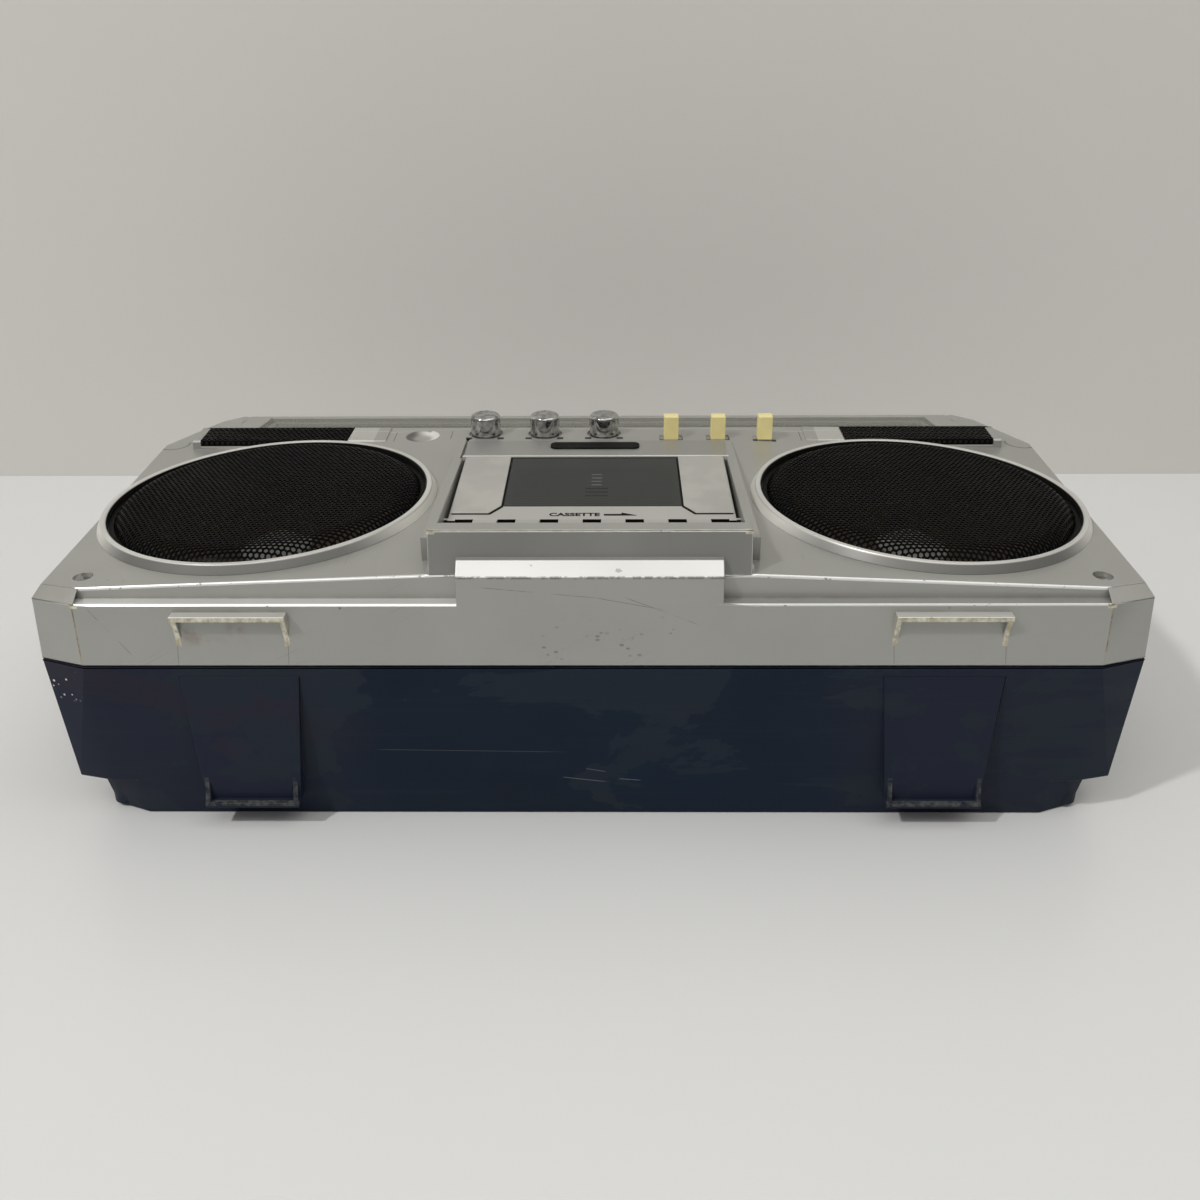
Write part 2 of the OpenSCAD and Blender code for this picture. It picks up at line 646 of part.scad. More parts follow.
module key_body(i) {
    x = key_x0 + i * key_pitch;
    color([0.66, 0.66, 0.63]) lay() {
        prof_x(x - key_w / 2, x + key_w / 2, [[chin_y + 1.6, panel_z - 6], [chin_y + 1.6, panel_z - 1], [key_y - 8.9, panel_z + 1.2],
            [key_y - 7.9, panel_z + 1.2], [key_y - 7.9, panel_z - 6]]);
        box([x - tip_w / 2, key_y - 8.9, panel_z - 4], [x + tip_w / 2, key_y, panel_z + 3.4]);
        box([x - 2, deck_at(30), deck_z + key_travel + 1], [x + 2, deck_at(44), panel_z - 5]);
    }
}

module key_comb() {
    color([0.1, 0.1, 0.1]) lay() difference() {
        box([-62, deck_at(26), deck_z], [62, deck_at(48), panel_z - key_travel - 7.4]);
        for (i = [0:5])
            box([key_x0 + i * key_pitch - 2.3, deck_at(30) - 0.3, deck_z - 1], [key_x0 + i * key_pitch + 2.3, deck_at(44) + 0.3, deck_z + 20]);
    }
}

module deck_chassis() {
    color([0.62, 0.62, 0.6]) lay() difference() {
        union() {
            box([-82, chin_y, deck_z - deck_t], [82, body_h - 62, deck_z]);
            rod([cap_x, cap_y, deck_z - 4.4], 4.5, 12);
            for (s = [-1, 1]) rod([s * 30, head_y, deck_z - 1], 1.5, 4.4);
        }
        rod([cap_x, cap_y, deck_z - 10], 1.2 + run_gap, 30);
        for (s = [-1, 1]) rod([s * spindle_gap / 2, reel_y, deck_z - 10], 1.6 + run_gap, 20);
        rod([motor_x, motor_y, deck_z - 10], 4, 20);
        box([-50, deck_at(118), deck_z - 10], [50, deck_at(136), deck_z + 5]);
    }
}

module head_bridge() {
    color([0.55, 0.55, 0.57]) lay() difference() {
        union() {
            box([-38, head_y - 9, deck_z + 0.3], [38, head_y + 6.5, deck_z + 1.8]);
            box([-7, head_y - 4, deck_z + 1.6], [7, head_y + 6, deck_z + 16]);
            rod([cap_x, roll_y, deck_z + 1], 1.5, 18.4);
        }
        for (s = [-1, 1]) box([s * 30 - 1.8, head_y - 7.1, deck_z - 1], [s * 30 + 1.8, head_y + 2.3, deck_z + 5]);
        box([-5, head_y + 4.6, deck_z + 6], [5, head_y + 8, deck_z + 14]);
    }
}

module pinch_roller() {
    color([0.08, 0.08, 0.08]) lay() difference() {
        rod([cap_x, roll_y, deck_z + 8.2], roll_r, 9.6);
        rod([cap_x, roll_y, deck_z], 1.5 + run_gap, 30);
    }
}

module capstan_flywheel() {
    color([0.72, 0.71, 0.68]) lay() difference() {
        union() {
            rod([cap_x, cap_y, fly_z - 2.5], fly_r, 6);
            rod([cap_x, cap_y, fly_z - 2.5], 1.2, 32);
        }
        rod([cap_x + 18, cap_y, fly_z - 3], 5, 8);
        rod([cap_x - 18, cap_y, fly_z - 3], 5, 8);
    }
}

module spindle(s) {
    color([0.85, 0.84, 0.8]) lay() translate([s * spindle_gap / 2, reel_y, deck_z]) {
        rod([0, 0, -7], 1.6, 8);
        rod([0, 0, 0.5], 13, 2.4);
        rod([0, 0, 2], 3.6, 18);
        for (a = [0:120:240]) rotate([0, 0, a]) box([2, -0.6, 8], [4.8, 0.6, 19]);
    }
}

module deck_motor() {
    color([0.6, 0.6, 0.6]) lay() difference() {
        rod([motor_x, motor_y, deck_z], 13, 19);
        rod([motor_x, motor_y, deck_z - 1], 1 + run_gap, 10);
    }
}

module motor_pulley() {
    color([0.8, 0.65, 0.35]) lay() {
        rod([motor_x, motor_y, fly_z - 3], pulley_r, 7);
        rod([motor_x, motor_y, fly_z - 3], 1, 18);
    }
}

module belt_loop(o) {
    hull() {
        translate([cap_x, cap_y]) circle(r = fly_r + o, $fn = 64);
        translate([motor_x, motor_y]) circle(r = pulley_r + o, $fn = 32);
    }
}

module drive_belt() {
    color([0.05, 0.05, 0.05]) lay() translate([0, 0, fly_z - 1]) linear_extrude(3) difference() {
        belt_loop(1.4);
        belt_loop(part_gap);
    }
}

module main_board() {
    color([0.35, 0.27, 0.14]) lay() {
        difference() {
            box([-board_hw, board_y0, board_z], [board_hw, board_y1, board_z + board_t]);
            both() for (y = [board_y0 + 8, board_y1 - 8]) rod([board_hw - 8, y, board_z - 1], 1.6, 4);
        }
        for (i = [0:5]) rod([-110 + i * 16, board_y0 + 12, board_z + 1], 5, 14);
        for (i = [0:3]) box([-108 + i * 30, board_y0 + 30, board_z + 1], [-88 + i * 30, board_y0 + 37, board_z + 6]);
        box([92, board_y0 + 12, board_z + 1], [104, board_y0 + 50, board_z + 22]);
    }
}

module tuning_capacitor() {
    color([0.8, 0.8, 0.76]) lay() translate([46, board_y0 + 36, board_z + board_t]) {
        box([-11, -11, 0], [11, 11, 14]);
        rod([0, 0, 13], 3, 7);
        rod([0, 0, 16], 14, 3);
    }
}

module ferrite_rod() {
    color([0.25, 0.22, 0.22]) lay() translate([0, board_y1 - 12, board_z + board_t + 12]) {
        translate([-75, 0, 0]) rotate([0, 90, 0]) cylinder(r = 5, h = 150);
        for (x = [-62, 58]) box([x, -3, -12], [x + 4, 3, -3]);
        translate([-40, 0, 0]) rotate([0, 90, 0]) cylinder(r = 6.2, h = 24);
    }
}

module power_transformer() {
    color([0.35, 0.33, 0.3]) lay() translate([-hx + 62, 44, wall_t]) {
        box([-26, -20, 0], [26, 20, 34]);
        box([-15, -28, 6], [15, 28, 28]);
    }
}

module battery_contacts() {
    color([0.8, 0.75, 0.6]) lay() both() for (y = [batt_y0 + 15.5, batt_y1 - 15.5]) {
        box([batt_hw - 0.6, y - 10, 8], [batt_hw, y + 10, 32]);
        for (k = [0:3]) translate([batt_hw - 1.6 - k * 1.4, y, 20]) rotate([0, 90, 0])
            cylinder(r1 = 4 + 1.4 * (3 - k) - 1, r2 = 5 + 1.4 * (3 - k), h = 1.6);
    }
}

module mains_inlet() {
    color([0.07, 0.07, 0.07]) lay() difference() {
        union() {
            box([hx - 18, jack_y - 18, jack_z - 10], [hx - 14, jack_y + 3, jack_z + 10]);
            box([hx - 28, jack_y - 12.6, jack_z - 5.6], [hx - 9, jack_y + 0.6, jack_z + 5.6]);
        }
        box([hx - 20, jack_y - 10.6, jack_z - 3.6], [hx, jack_y - 1.4, jack_z + 3.6]);
    }
}

module jack_sockets() {
    color([0.6, 0.6, 0.6]) lay() for (z = [-6, 6]) translate([0, jack_y + 9, jack_z + z]) difference() {
        union() {
            box([hx - 28, -5.4, -5.4], [hx - 14, 5.4, 5.4]);
            translate([hx - 15, 0, 0]) rotate([0, 90, 0]) cylinder(r = 3.1, h = 7.4);
        }
        translate([hx - 26, 0, 0]) rotate([0, 90, 0]) cylinder(r = 1.8, h = 40);
    }
}

module folded() {
    translate([0, piv_y, piv_z]) rotate([90 - fold_a, 0, 0]) children();
}

module handle_grip() {
    color([0.13, 0.14, 0.16]) lay() folded() prof_x(-piv_x - 0.4, piv_x + 0.4, grip_pts());
}

module handle_arm() {
    color([0.13, 0.14, 0.16]) lay() folded() translate([piv_x + 0.4, 0, 0]) difference() {
        union() {
            rotate([0, 90, 0]) cylinder(r = 7.6, h = arm_t);
            box([0, -6.5, -handle_r], [arm_t, 6.5, 0]);
            prof_x(0, arm_t, grip_pts());
        }
        translate([-1, 0, 0]) rotate([0, 90, 0]) cylinder(r = piv_r + run_gap, h = arm_t + 2);
    }
}

module antenna_base() {
    color([0.1, 0.1, 0.1]) lay() {
        box([mast_x - 8, body_h + 1, mast_z - 7], [mast_x + 8, body_h + 3, mast_z + 7]);
        for (s = [-1, 1]) box([mast_x - 4, body_h + 2, mast_z + s * 5 - 1.4], [mast_x + 4, mast_y + 4, mast_z + s * 5 + 1.4]);
        rod([mast_x, mast_y, mast_z - 5], 1.5, 10);
    }
}

module antenna_tube() {
    color([0.8, 0.8, 0.8]) lay() difference() {
        union() {
            rod([mast_x, mast_y, mast_z - 3.2], 3.4, 6.4);
            box([mast_x - 7, mast_y - 2.6, mast_z - 2.6], [mast_x, mast_y + 2.6, mast_z + 2.6]);
            translate([mast_x - 6 - mast_l, mast_y, mast_z]) rotate([0, 90, 0]) cylinder(r = mast_r, h = mast_l);
        }
        rod([mast_x, mast_y, mast_z - 10], 1.5 + run_gap, 20);
        translate([mast_x - 10 - mast_l, mast_y, mast_z]) rotate([0, 90, 0]) cylinder(r = rod_r + run_gap, h = mast_l - 10);
    }
}

module antenna_rod() {
    color([0.85, 0.85, 0.85]) lay() {
        translate([mast_x - 6.6 - mast_l, mast_y, mast_z]) rotate([0, 90, 0]) cylinder(r = rod_r, h = mast_l - 16);
        translate([mast_x - 13 - mast_l, mast_y, mast_z]) rotate([0, 90, 0]) cylinder(r = mast_r - 0.1, h = 6.4);
    }
}

front_shell();
rear_cover();
battery_door();
case_screws();
mirror([1, 0, 0]) trim_ring();  // left_trim_ring
trim_ring();  // right_trim_ring
mirror([1, 0, 0]) woofer_grille();  // left_woofer_grille
woofer_grille();  // right_woofer_grille
mirror([1, 0, 0]) woofer_frame();  // left_woofer_frame
woofer_frame();  // right_woofer_frame
mirror([1, 0, 0]) woofer_cone();  // left_woofer_cone
woofer_cone();  // right_woofer_cone
mirror([1, 0, 0]) tweeter_grille();  // left_tweeter_grille
tweeter_grille();  // right_tweeter_grille
mirror([1, 0, 0]) tweeter();  // left_tweeter
tweeter();  // right_tweeter
dial_window();
dial_scale();
dial_pointer();
rotary_knob(0);  // volume_knob
rotary_knob(1);  // tone_knob
rotary_knob(2);  // tuning_knob
control_pots();
slide_lever(0);  // band_lever
slide_lever(1);  // mode_lever
slide_lever(2);  // tape_lever
slide_switches();
cassette_door();
door_window();
door_side_plates();
cassette_holder();
key_body(0);  // record_key
key_body(1);  // play_key
key_body(2);  // rewind_key
key_body(3);  // forward_key
key_body(4);  // stop_key
key_body(5);  // pause_key
key_comb();
deck_chassis();
head_bridge();
pinch_roller();
capstan_flywheel();
spindle(-1);  // supply_spindle
spindle(1);  // takeup_spindle
deck_motor();
motor_pulley();
drive_belt();
main_board();
tuning_capacitor();
ferrite_rod();
power_transformer();
battery_contacts();
mains_inlet();
jack_sockets();
handle_grip();
mirror([1, 0, 0]) handle_arm();  // left_handle_arm
handle_arm();  // right_handle_arm
antenna_base();
antenna_tube();
antenna_rod();
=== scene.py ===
import bmesh
import bpy
import json
import math
from mathutils import Matrix, Vector


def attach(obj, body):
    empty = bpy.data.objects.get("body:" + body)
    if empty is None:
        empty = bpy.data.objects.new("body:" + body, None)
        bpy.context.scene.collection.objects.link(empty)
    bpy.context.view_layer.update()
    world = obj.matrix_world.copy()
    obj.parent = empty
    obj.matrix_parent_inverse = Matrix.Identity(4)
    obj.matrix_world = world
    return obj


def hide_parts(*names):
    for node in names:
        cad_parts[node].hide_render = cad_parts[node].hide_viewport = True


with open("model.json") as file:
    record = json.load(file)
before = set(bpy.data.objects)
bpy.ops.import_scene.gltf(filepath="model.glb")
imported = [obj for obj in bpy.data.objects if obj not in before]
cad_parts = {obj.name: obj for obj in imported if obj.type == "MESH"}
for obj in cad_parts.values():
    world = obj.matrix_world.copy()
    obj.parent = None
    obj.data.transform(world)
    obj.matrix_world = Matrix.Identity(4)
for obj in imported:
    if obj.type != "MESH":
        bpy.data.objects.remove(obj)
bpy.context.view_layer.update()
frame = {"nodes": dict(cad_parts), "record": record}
nodes = frame["nodes"]
slotOf = {s["node"]: s["material_slot"] for s in frame["record"]["subparts"]}
bpy.context.scene.view_settings.view_transform = "Standard"
mm = 0.001
sides = ((-1, "left"), (1, "right"))
print("frame loaded:", len(nodes), "nodes")

# millimetres in the row frame: X across, Y from the bottom face up, Z to the front
# a piece's own y counts from the bottom face; boxes and points of marks are in the frame itself
case = {"bottomY": -120, "panelZ": 124.3, "middleHalf": 70, "tilt": math.atan(7 / 170), "doorZ": 126.8}


def up(y):
    # a height above the bottom face, as Y in the frame
    return y + case["bottomY"]


# shader helpers; a new node goes into the tree that its inputs belong to

def link(a, b):
    a.id_data.links.new(a, b)


def feed(socket, v):
    # numbers and colours are set on the socket, other nodes' outputs are linked to it
    if isinstance(v, (int, float)):
        socket.default_value = v
    elif isinstance(v, tuple):
        socket.default_value = (*v, 1)
    else:
        link(v, socket)


def mathNode(op, *values):
    tree = next(v.id_data for v in values if isinstance(v, bpy.types.NodeSocket))
    n = tree.nodes.new("ShaderNodeMath")
    n.operation = op
    for socket, v in zip(n.inputs, values):
        feed(socket, v)
    return n.outputs[0]


def times(first, *others):
    for v in others:
        first = mathNode("MULTIPLY", first, v)
    return first


def ramp(value, lo, hi, kind="SMOOTHSTEP"):
    n = value.id_data.nodes.new("ShaderNodeMapRange")
    n.interpolation_type = kind
    for label, v in (("Value", value), ("From Min", lo), ("From Max", hi)):
        feed(n.inputs[label], v)
    return n.outputs["Result"]


def mixColour(mask, a, b):
    n = mask.id_data.nodes.new("ShaderNodeMix")
    n.data_type = "RGBA"
    for i, v in ((0, mask), (6, a), (7, b)):
        feed(n.inputs[i], v)
    return n.outputs[2]


def paint(colour, tint, *masks):
    # a tint over a colour, as strong as its masks multiplied
    return mixColour(times(*masks), colour, tint)


def objectCoord(tree):
    return tree.nodes.new("ShaderNodeTexCoord").outputs["Object"]


def split(vector):
    n = vector.id_data.nodes.new("ShaderNodeSeparateXYZ")
    link(vector, n.inputs[0])
    return n.outputs


def splitCoord(tree):
    return split(objectCoord(tree))


def mapped(vector, scale=(1, 1, 1), turn=(0, 0, 0), move=(0, 0, 0)):
    n = vector.id_data.nodes.new("ShaderNodeMapping")
    n.inputs["Scale"].default_value = scale
    n.inputs["Rotation"].default_value = turn
    n.inputs["Location"].default_value = move
    link(vector, n.inputs["Vector"])
    return n.outputs["Vector"]


def noise(vector, scale, detail=4, rough=0.55, distortion=0.0):
    n = vector.id_data.nodes.new("ShaderNodeTexNoise")
    for label, v in (("Vector", vector), ("Scale", scale), ("Detail", detail), ("Roughness", rough),
                     ("Distortion", distortion)):
        feed(n.inputs[label], v)
    return n.outputs["Fac"]


def patches(tree, scale, detail, rough, lo, hi):
    # noise over the piece, cut between two levels
    return ramp(noise(objectCoord(tree), scale, detail, rough), lo, hi)


def cells(vector, scale):
    n = vector.id_data.nodes.new("ShaderNodeTexVoronoi")
    n.inputs["Scale"].default_value = scale
    link(vector, n.inputs["Vector"])
    return n.outputs["Distance"]


def fromPoint(tree, x, y, bothSides=False):
    # offsets from a point in plan and the distance to it; bothSides adds its mirror image
    xyz = splitCoord(tree)
    across = mathNode("ABSOLUTE", xyz[0]) if bothSides else xyz[0]
    dx = mathNode("SUBTRACT", across, x * mm)
    dy = mathNode("SUBTRACT", xyz[1], y * mm)
    radius = mathNode("SQRT", mathNode("ADD", times(dx, dx), times(dy, dy)))
    return dx, dy, radius


def boxMask(tree, lo, hi, soft):
    # 1 inside a box, with soft sides; None leaves a side open
    mask = None
    for value, low, high in zip(splitCoord(tree), lo, hi):
        for edge, sign in ((low, 1), (high, -1)):
            if edge is None:
                continue
            m = ramp(value, (edge - sign * soft) * mm, (edge + sign * soft) * mm)
            mask = m if mask is None else times(mask, m)
    return mask


def paintBox(tree, colour, tint, lo, hi, soft, *masks):
    return paint(colour, tint, boxMask(tree, lo, hi, soft), *masks)


def wallLine(tree, start, end, width):
    # 1 along a straight line on the bottom wall, between two points given as (x, z)
    xyz = splitCoord(tree)
    a = Vector(start) * mm
    along = Vector(end) * mm - a
    length = along.length
    u = along / length
    run = mathNode("MULTIPLY_ADD", xyz[2], u.y, times(xyz[0], u.x))
    off = mathNode("MULTIPLY_ADD", xyz[2], u.x, times(xyz[0], -u.y))
    gap = mathNode("ABSOLUTE", mathNode("SUBTRACT", off, a.y * u.x - a.x * u.y))
    run = mathNode("SUBTRACT", run, a.dot(u))
    near = ramp(gap, width * mm, 0.4 * width * mm)
    return times(near, ramp(run, 0, 0.1 * length), ramp(run, length, 0.8 * length))


def bumped(bsdf, height, strength, distance):
    n = bsdf.id_data.nodes.new("ShaderNodeBump")
    n.inputs["Strength"].default_value = strength
    n.inputs["Distance"].default_value = distance
    link(height, n.inputs["Height"])
    link(n.outputs["Normal"], bsdf.inputs["Normal"])
    return n


def newGroup(name, inputs, outputs):
    g = bpy.data.node_groups.new(name, "ShaderNodeTree")
    for label, default in inputs:
        s = g.interface.new_socket(name=label, in_out="INPUT", socket_type="NodeSocketFloat")
        s.default_value = default
    for label in outputs:
        g.interface.new_socket(name=label, in_out="OUTPUT", socket_type="NodeSocketFloat")
    return g, g.nodes.new("NodeGroupInput"), g.nodes.new("NodeGroupOutput")


def placeGroup(tree, group, **values):
    n = tree.nodes.new("ShaderNodeGroup")
    n.node_tree = group
    for label, v in values.items():
        n.inputs[label].default_value = v
    return n


# effects that several finishes share

def buildGrain():
    g, given, made = newGroup("mouldGrain", [("Scale", 900.0), ("ToneScale", 22.0)], ["Height", "Tone"])
    for source, target, detail in (("Scale", "Height", 2), ("ToneScale", "Tone", 5)):
        link(noise(objectCoord(g), given.outputs[source], detail, 0.5), made.inputs[target])
    return g


def occlusion(g, reach, inside):
    n = g.nodes.new("ShaderNodeAmbientOcclusion")
    n.inside = inside
    n.samples = 6
    n.only_local = True
    link(reach, n.inputs["Distance"])
    return mathNode("SUBTRACT", 1.0, n.outputs["AO"])


def buildEdgeWear():
    inputs = [("Distance", 0.0009), ("Patch", 60.0), ("Low", 0.42), ("High", 0.6)]
    g, given, made = newGroup("edgeWear", inputs, ["Mask"])
    edge = ramp(occlusion(g, given.outputs["Distance"], True), 0.22, 0.6)
    uneven = noise(objectCoord(g), given.outputs["Patch"], 5, 0.5)
    broken = ramp(uneven, given.outputs["Low"], given.outputs["High"], "LINEAR")
    link(times(edge, broken), made.inputs["Mask"])
    return g


def buildCreaseDarkening():
    # darker in concave corners and creases, in patches
    g, given, made = newGroup("creaseDarkening", [("Distance", 0.004)], ["Mask"])
    deep = ramp(occlusion(g, given.outputs["Distance"], False), 0.25, 0.8)
    link(times(deep, patches(g, 75, 6, 0.65, 0.35, 0.7)), made.inputs["Mask"])
    return g


def buildScratches():
    # fine hair lines: noise drawn out along one direction, kept in patches
    inputs = [("Turn", 0.5), ("Across", 1500.0), ("Cut", 0.70)]
    g, given, made = newGroup("hairScratches", inputs, ["Mask"])
    turned = g.nodes.new("ShaderNodeVectorRotate")
    turned.rotation_type = "Y_AXIS"
    link(objectCoord(g), turned.inputs["Vector"])
    link(given.outputs["Turn"], turned.inputs["Angle"])
    drawn = g.nodes.new("ShaderNodeCombineXYZ")
    along = 26.0
    parts = split(turned.outputs["Vector"])
    for i, scale in enumerate((along, along, given.outputs["Across"])):
        link(times(parts[i], scale), drawn.inputs[i])
    cut = given.outputs["Cut"]
    line = ramp(noise(drawn.outputs[0], 1.0, 1, 0.5), cut, mathNode("ADD", cut, 0.05), "LINEAR")
    link(times(line, patches(g, 17, 3, 0.5, 0.52, 0.66)), made.inputs["Mask"])
    return g


grainGroup = buildGrain()
wearGroup = buildEdgeWear()
creaseDarkGroup = buildCreaseDarkening()
scratchGroup = buildScratches()
print("shared effects ready")


# finishes

def newMaterial(name):
    mat = bpy.data.materials.new(name)
    mat.use_nodes = True
    tree = mat.node_tree
    tree.nodes.clear()
    out = tree.nodes.new("ShaderNodeOutputMaterial")
    bsdf = tree.nodes.new("ShaderNodeBsdfPrincipled")
    link(bsdf.outputs["BSDF"], out.inputs["Surface"])
    return mat, tree, bsdf


# effect, its group, the inputs that a finish may change, and its usual tint
layers = (("dirt", creaseDarkGroup, {}, (0.05, 0.045, 0.035)),
          ("scratch", scratchGroup, {"Turn": 0.5, "Cut": 0.7}, (0.1, 0.1, 0.1)),
          ("wear", wearGroup, {"Low": 0.45, "High": 0.62}, (0.6, 0.57, 0.46)))


def finish(name, spec):
    # moulded, painted or metal surface: grain, uneven tone, darkening in creases, scratches, worn edges and
    # own marks
    mat, tree, bsdf = newMaterial(name)
    grain = placeGroup(tree, grainGroup, Scale=spec.get("grainScale", 900.0),
                       ToneScale=spec.get("toneScale", 22.0))
    base = spec["colour"]
    dark = tuple(c * (1 - spec.get("uneven", 0.12)) for c in base)
    tone = ramp(grain.outputs["Tone"], 0.3, 0.7)
    colour = mixColour(tone, dark, base)
    for key, group, inputs, tint in layers:
        if key in spec:
            values = {label: spec.get(key + label, v) for label, v in inputs.items()}
            mask = placeGroup(tree, group, **values).outputs["Mask"]
            colour = paint(colour, spec.get(key + "Colour", tint), mask, spec[key])
    for add in spec.get("marks", ()):
        colour = add(tree, colour)
    link(colour, bsdf.inputs["Base Color"])
    spread = spec.get("roughSpread", 0.12)
    rough = mathNode("MULTIPLY_ADD", tone, spread, spec["roughness"] - spread / 2)
    link(rough, bsdf.inputs["Roughness"])
    bsdf.inputs["Metallic"].default_value = spec["metallic"]
    bsdf.inputs["Specular IOR Level"].default_value = spec.get("specular", 0.5)
    bump = bumped(bsdf, grain.outputs["Height"], spec["grain"], 0.0002)
    if "rounded" in spec:
        soft = tree.nodes.new("ShaderNodeBevel")
        soft.samples = 4
        soft.inputs["Radius"].default_value = spec["rounded"]
        link(soft.outputs["Normal"], bump.inputs["Normal"])
    return mat


rubbed = {"footLegs": (130.1, 176.9), "chinEnd": 67.4, "cornerLine": 220.4, "cornerTip": 220,
          "pale": (0.62, 0.62, 0.585), "ivory": ((0.46, 0.41, 0.28), (0.78, 0.75, 0.63)),
          "cream": ((0.70, 0.68, 0.58), (0.86, 0.85, 0.78)),
          "brown": ((0.16, 0.13, 0.08), (0.42, 0.37, 0.25))}


def bareMoulding(tree, colour):
    # ivory where the silver is rubbed off: fronts of the feet, the chin's edge, the lower corners
    mottle = patches(tree, 240, 4, 0.6, 0.35, 0.65)
    ivory, cream, brown = (mixColour(mottle, *rubbed[k]) for k in ("ivory", "cream", "brown"))
    ragged = patches(tree, 170, 5, 0.65, 0.34, 0.44)
    mostly = patches(tree, 60, 4, 0.6, 0.30, 0.42)
    thin = patches(tree, 120, 5, 0.65, 0.42, 0.52)
    places = [((None, -124.6, 109.6), (None, -120.5, 111), 0.9, rubbed["pale"]),
              ((None, None, 104), (None, -124.7, 109.7), ragged, ivory),
              ((-68, -109.4, 142.1), (68, -108.3, 144), mostly, cream)]
    for side in (-1, 1):
        for leg in rubbed["footLegs"]:
            x = side * leg
            places.append(((x - 1.1, None, 94), (x + 1.1, -120.3, 109.2), ragged, ivory))
        chin, line, tip = (side * rubbed[k] for k in ("chinEnd", "cornerLine", "cornerTip"))
        places.append(((chin - 2, -110, 141.2), (chin + 2, -107.6, 144), ragged, ivory))
        places.append(((line - 0.35, None, 85), (line + 0.35, -112, 112.4), thin, brown))
        places.append(((tip - 2, -121, 111.6), (tip + 2, -117, 113.2), ragged, ivory))
    for lo, hi, broken, tint in places:
        colour = paintBox(tree, colour, tint, lo, hi, 0.25, broken)
    return colour


scuffs = {"lines": (((-214.8, 112.5), (-195.2, 86), 0.22), ((14, 117), (48.7, 103), 0.25),
                    ((-52, 122), (8, 116), 0.22), ((2, 116.6), (41, 109), 0.22)),
          "lineTint": (0.10, 0.098, 0.09), "footLines": (129.6, 177.4), "footTint": (0.14, 0.13, 0.11),
          "stain": (0.20, 0.14, 0.09), "spots": (0.12, 0.115, 0.105), "barEdge": (0.12, 0.11, 0.095)}


def wallScuffs(tree, colour):
    # scratches, scuffs and stains on the bottom wall
    co = objectCoord(tree)
    broken = patches(tree, 90, 3, 0.6, 0.35, 0.6)
    for start, end, width in scuffs["lines"]:
        colour = paint(colour, scuffs["lineTint"], wallLine(tree, start, end, width), broken, 0.55)
    for side in (-1, 1):
        for x in scuffs["footLines"]:
            line = wallLine(tree, (side * x, 96), (side * (x + 1), 84), 0.28)
            colour = paint(colour, scuffs["footTint"], line, 0.5)
    stain = boxMask(tree, (-176, None, 95), (-148, -119, 106), 3.0)
    blotch = patches(tree, 85, 4, 0.55, 0.5, 0.7)
    colour = paint(colour, scuffs["stain"], stain, blotch, 0.45)
    spots = ramp(cells(mapped(co, (1, 1, 1.6), (0, 0.6, 0)), 210), 0.26, 0.16)
    rare = patches(tree, 95, 2, 0.5, 0.54, 0.60)
    middle = boxMask(tree, (-30, None, 87), (42, -118.6, 106), 6.0)
    colour = paint(colour, scuffs["spots"], spots, rare, middle, 0.7)
    specks = ramp(cells(co, 120), 0.10, 0.07)
    few = patches(tree, 40, 2, 0.5, 0.60, 0.64)
    colour = paint(colour, scuffs["spots"], specks, few, 0.7)
    barEdge = boxMask(tree, (-57, -120.6, 125.3), (57, -119.2, 126.5), 0.2)
    ragged = patches(tree, 320, 4, 0.6, 0.42, 0.52)
    return paint(colour, scuffs["barEdge"], barEdge, ragged, 0.6)


scoop = {"x": 232.5, "y": 66.5, "radius": 8.0, "tint": (0.07, 0.066, 0.058)}


def cornerScoopShade(tree, colour):
    # painted shade: a dark crescent in the outer end of each tweeter bar's block
    radius = fromPoint(tree, scoop["x"], scoop["y"], True)[2]
    off = mathNode("ABSOLUTE", mathNode("SUBTRACT", radius, scoop["radius"] * mm))
    near = boxMask(tree, (None, 57, 112), (None, 69, None), 0.6)
    return paint(colour, scoop["tint"], ramp(off, 0.0008, 0.0004), near, 0.7)


chamferHighlight = {"faces": (0, -0.7071, 0.7071), "bright": (0.90, 0.90, 0.88), "block": (0.66, 0.66, 0.645),
            "left": (0.85, 0.85, 0.83)}


def paintedChamferHighlights(tree, colour):
    # painted highlight: bevelled edges that face up and to the bottom side are painted bright as the front
    # light's glint, toned down on the lower block
    facing = tree.nodes.new("ShaderNodeVectorMath")
    facing.operation = "DOT_PRODUCT"
    facing.inputs[1].default_value = chamferHighlight["faces"]
    link(tree.nodes.new("ShaderNodeNewGeometry").outputs["True Normal"], facing.inputs[0])
    turned = ramp(facing.outputs["Value"], 0.90, 0.98)
    near = boxMask(tree, (None, None, None), (None, -60, None), 2.0)
    mask = times(turned, near, patches(tree, 260, 3, 0.6, 0.30, 0.36))
    colour = paint(colour, chamferHighlight["bright"], mask)
    block = boxMask(tree, (-57.6, None, 120), (57.6, -111, None), 0.4)
    colour = paint(colour, chamferHighlight["block"], mask, block)
    # painted highlight: the ledge's top left of the lower block is painted lighter, as if lit
    left = (None, -119.7, 113.0), (-56.5, -114.1, 113.7)
    return paintBox(tree, colour, chamferHighlight["left"], *left, 0.15, 0.75)


# painted shade on the chin, the strip between door and knobs and the rails' ends, with how strong each is;
# painted highlights on the tweeter bars and along the dial edge
shadeAndHighlight = {"places": (((-68.8, -114.6, 124.2), (68.8, -109.1, 142.2), 0.52),
                      ((-69.4, 20.6, 124.8), (69.4, 50.4, 126.2), 0.35),
                      ((67.8, -100.2, 124.2), (74.6, -98.9, 136), 0.35),
                      ((-74.6, -100.2, 124.2), (-67.8, -98.9, 136), 0.35)),
           "dull": (0.22, 0.22, 0.21), "hidden": (0.006, 0.006, 0.006), "lip": (0.66, 0.66, 0.62),
           "block": (0.64, 0.64, 0.60), "dialEdge": (0.70, 0.68, 0.60)}


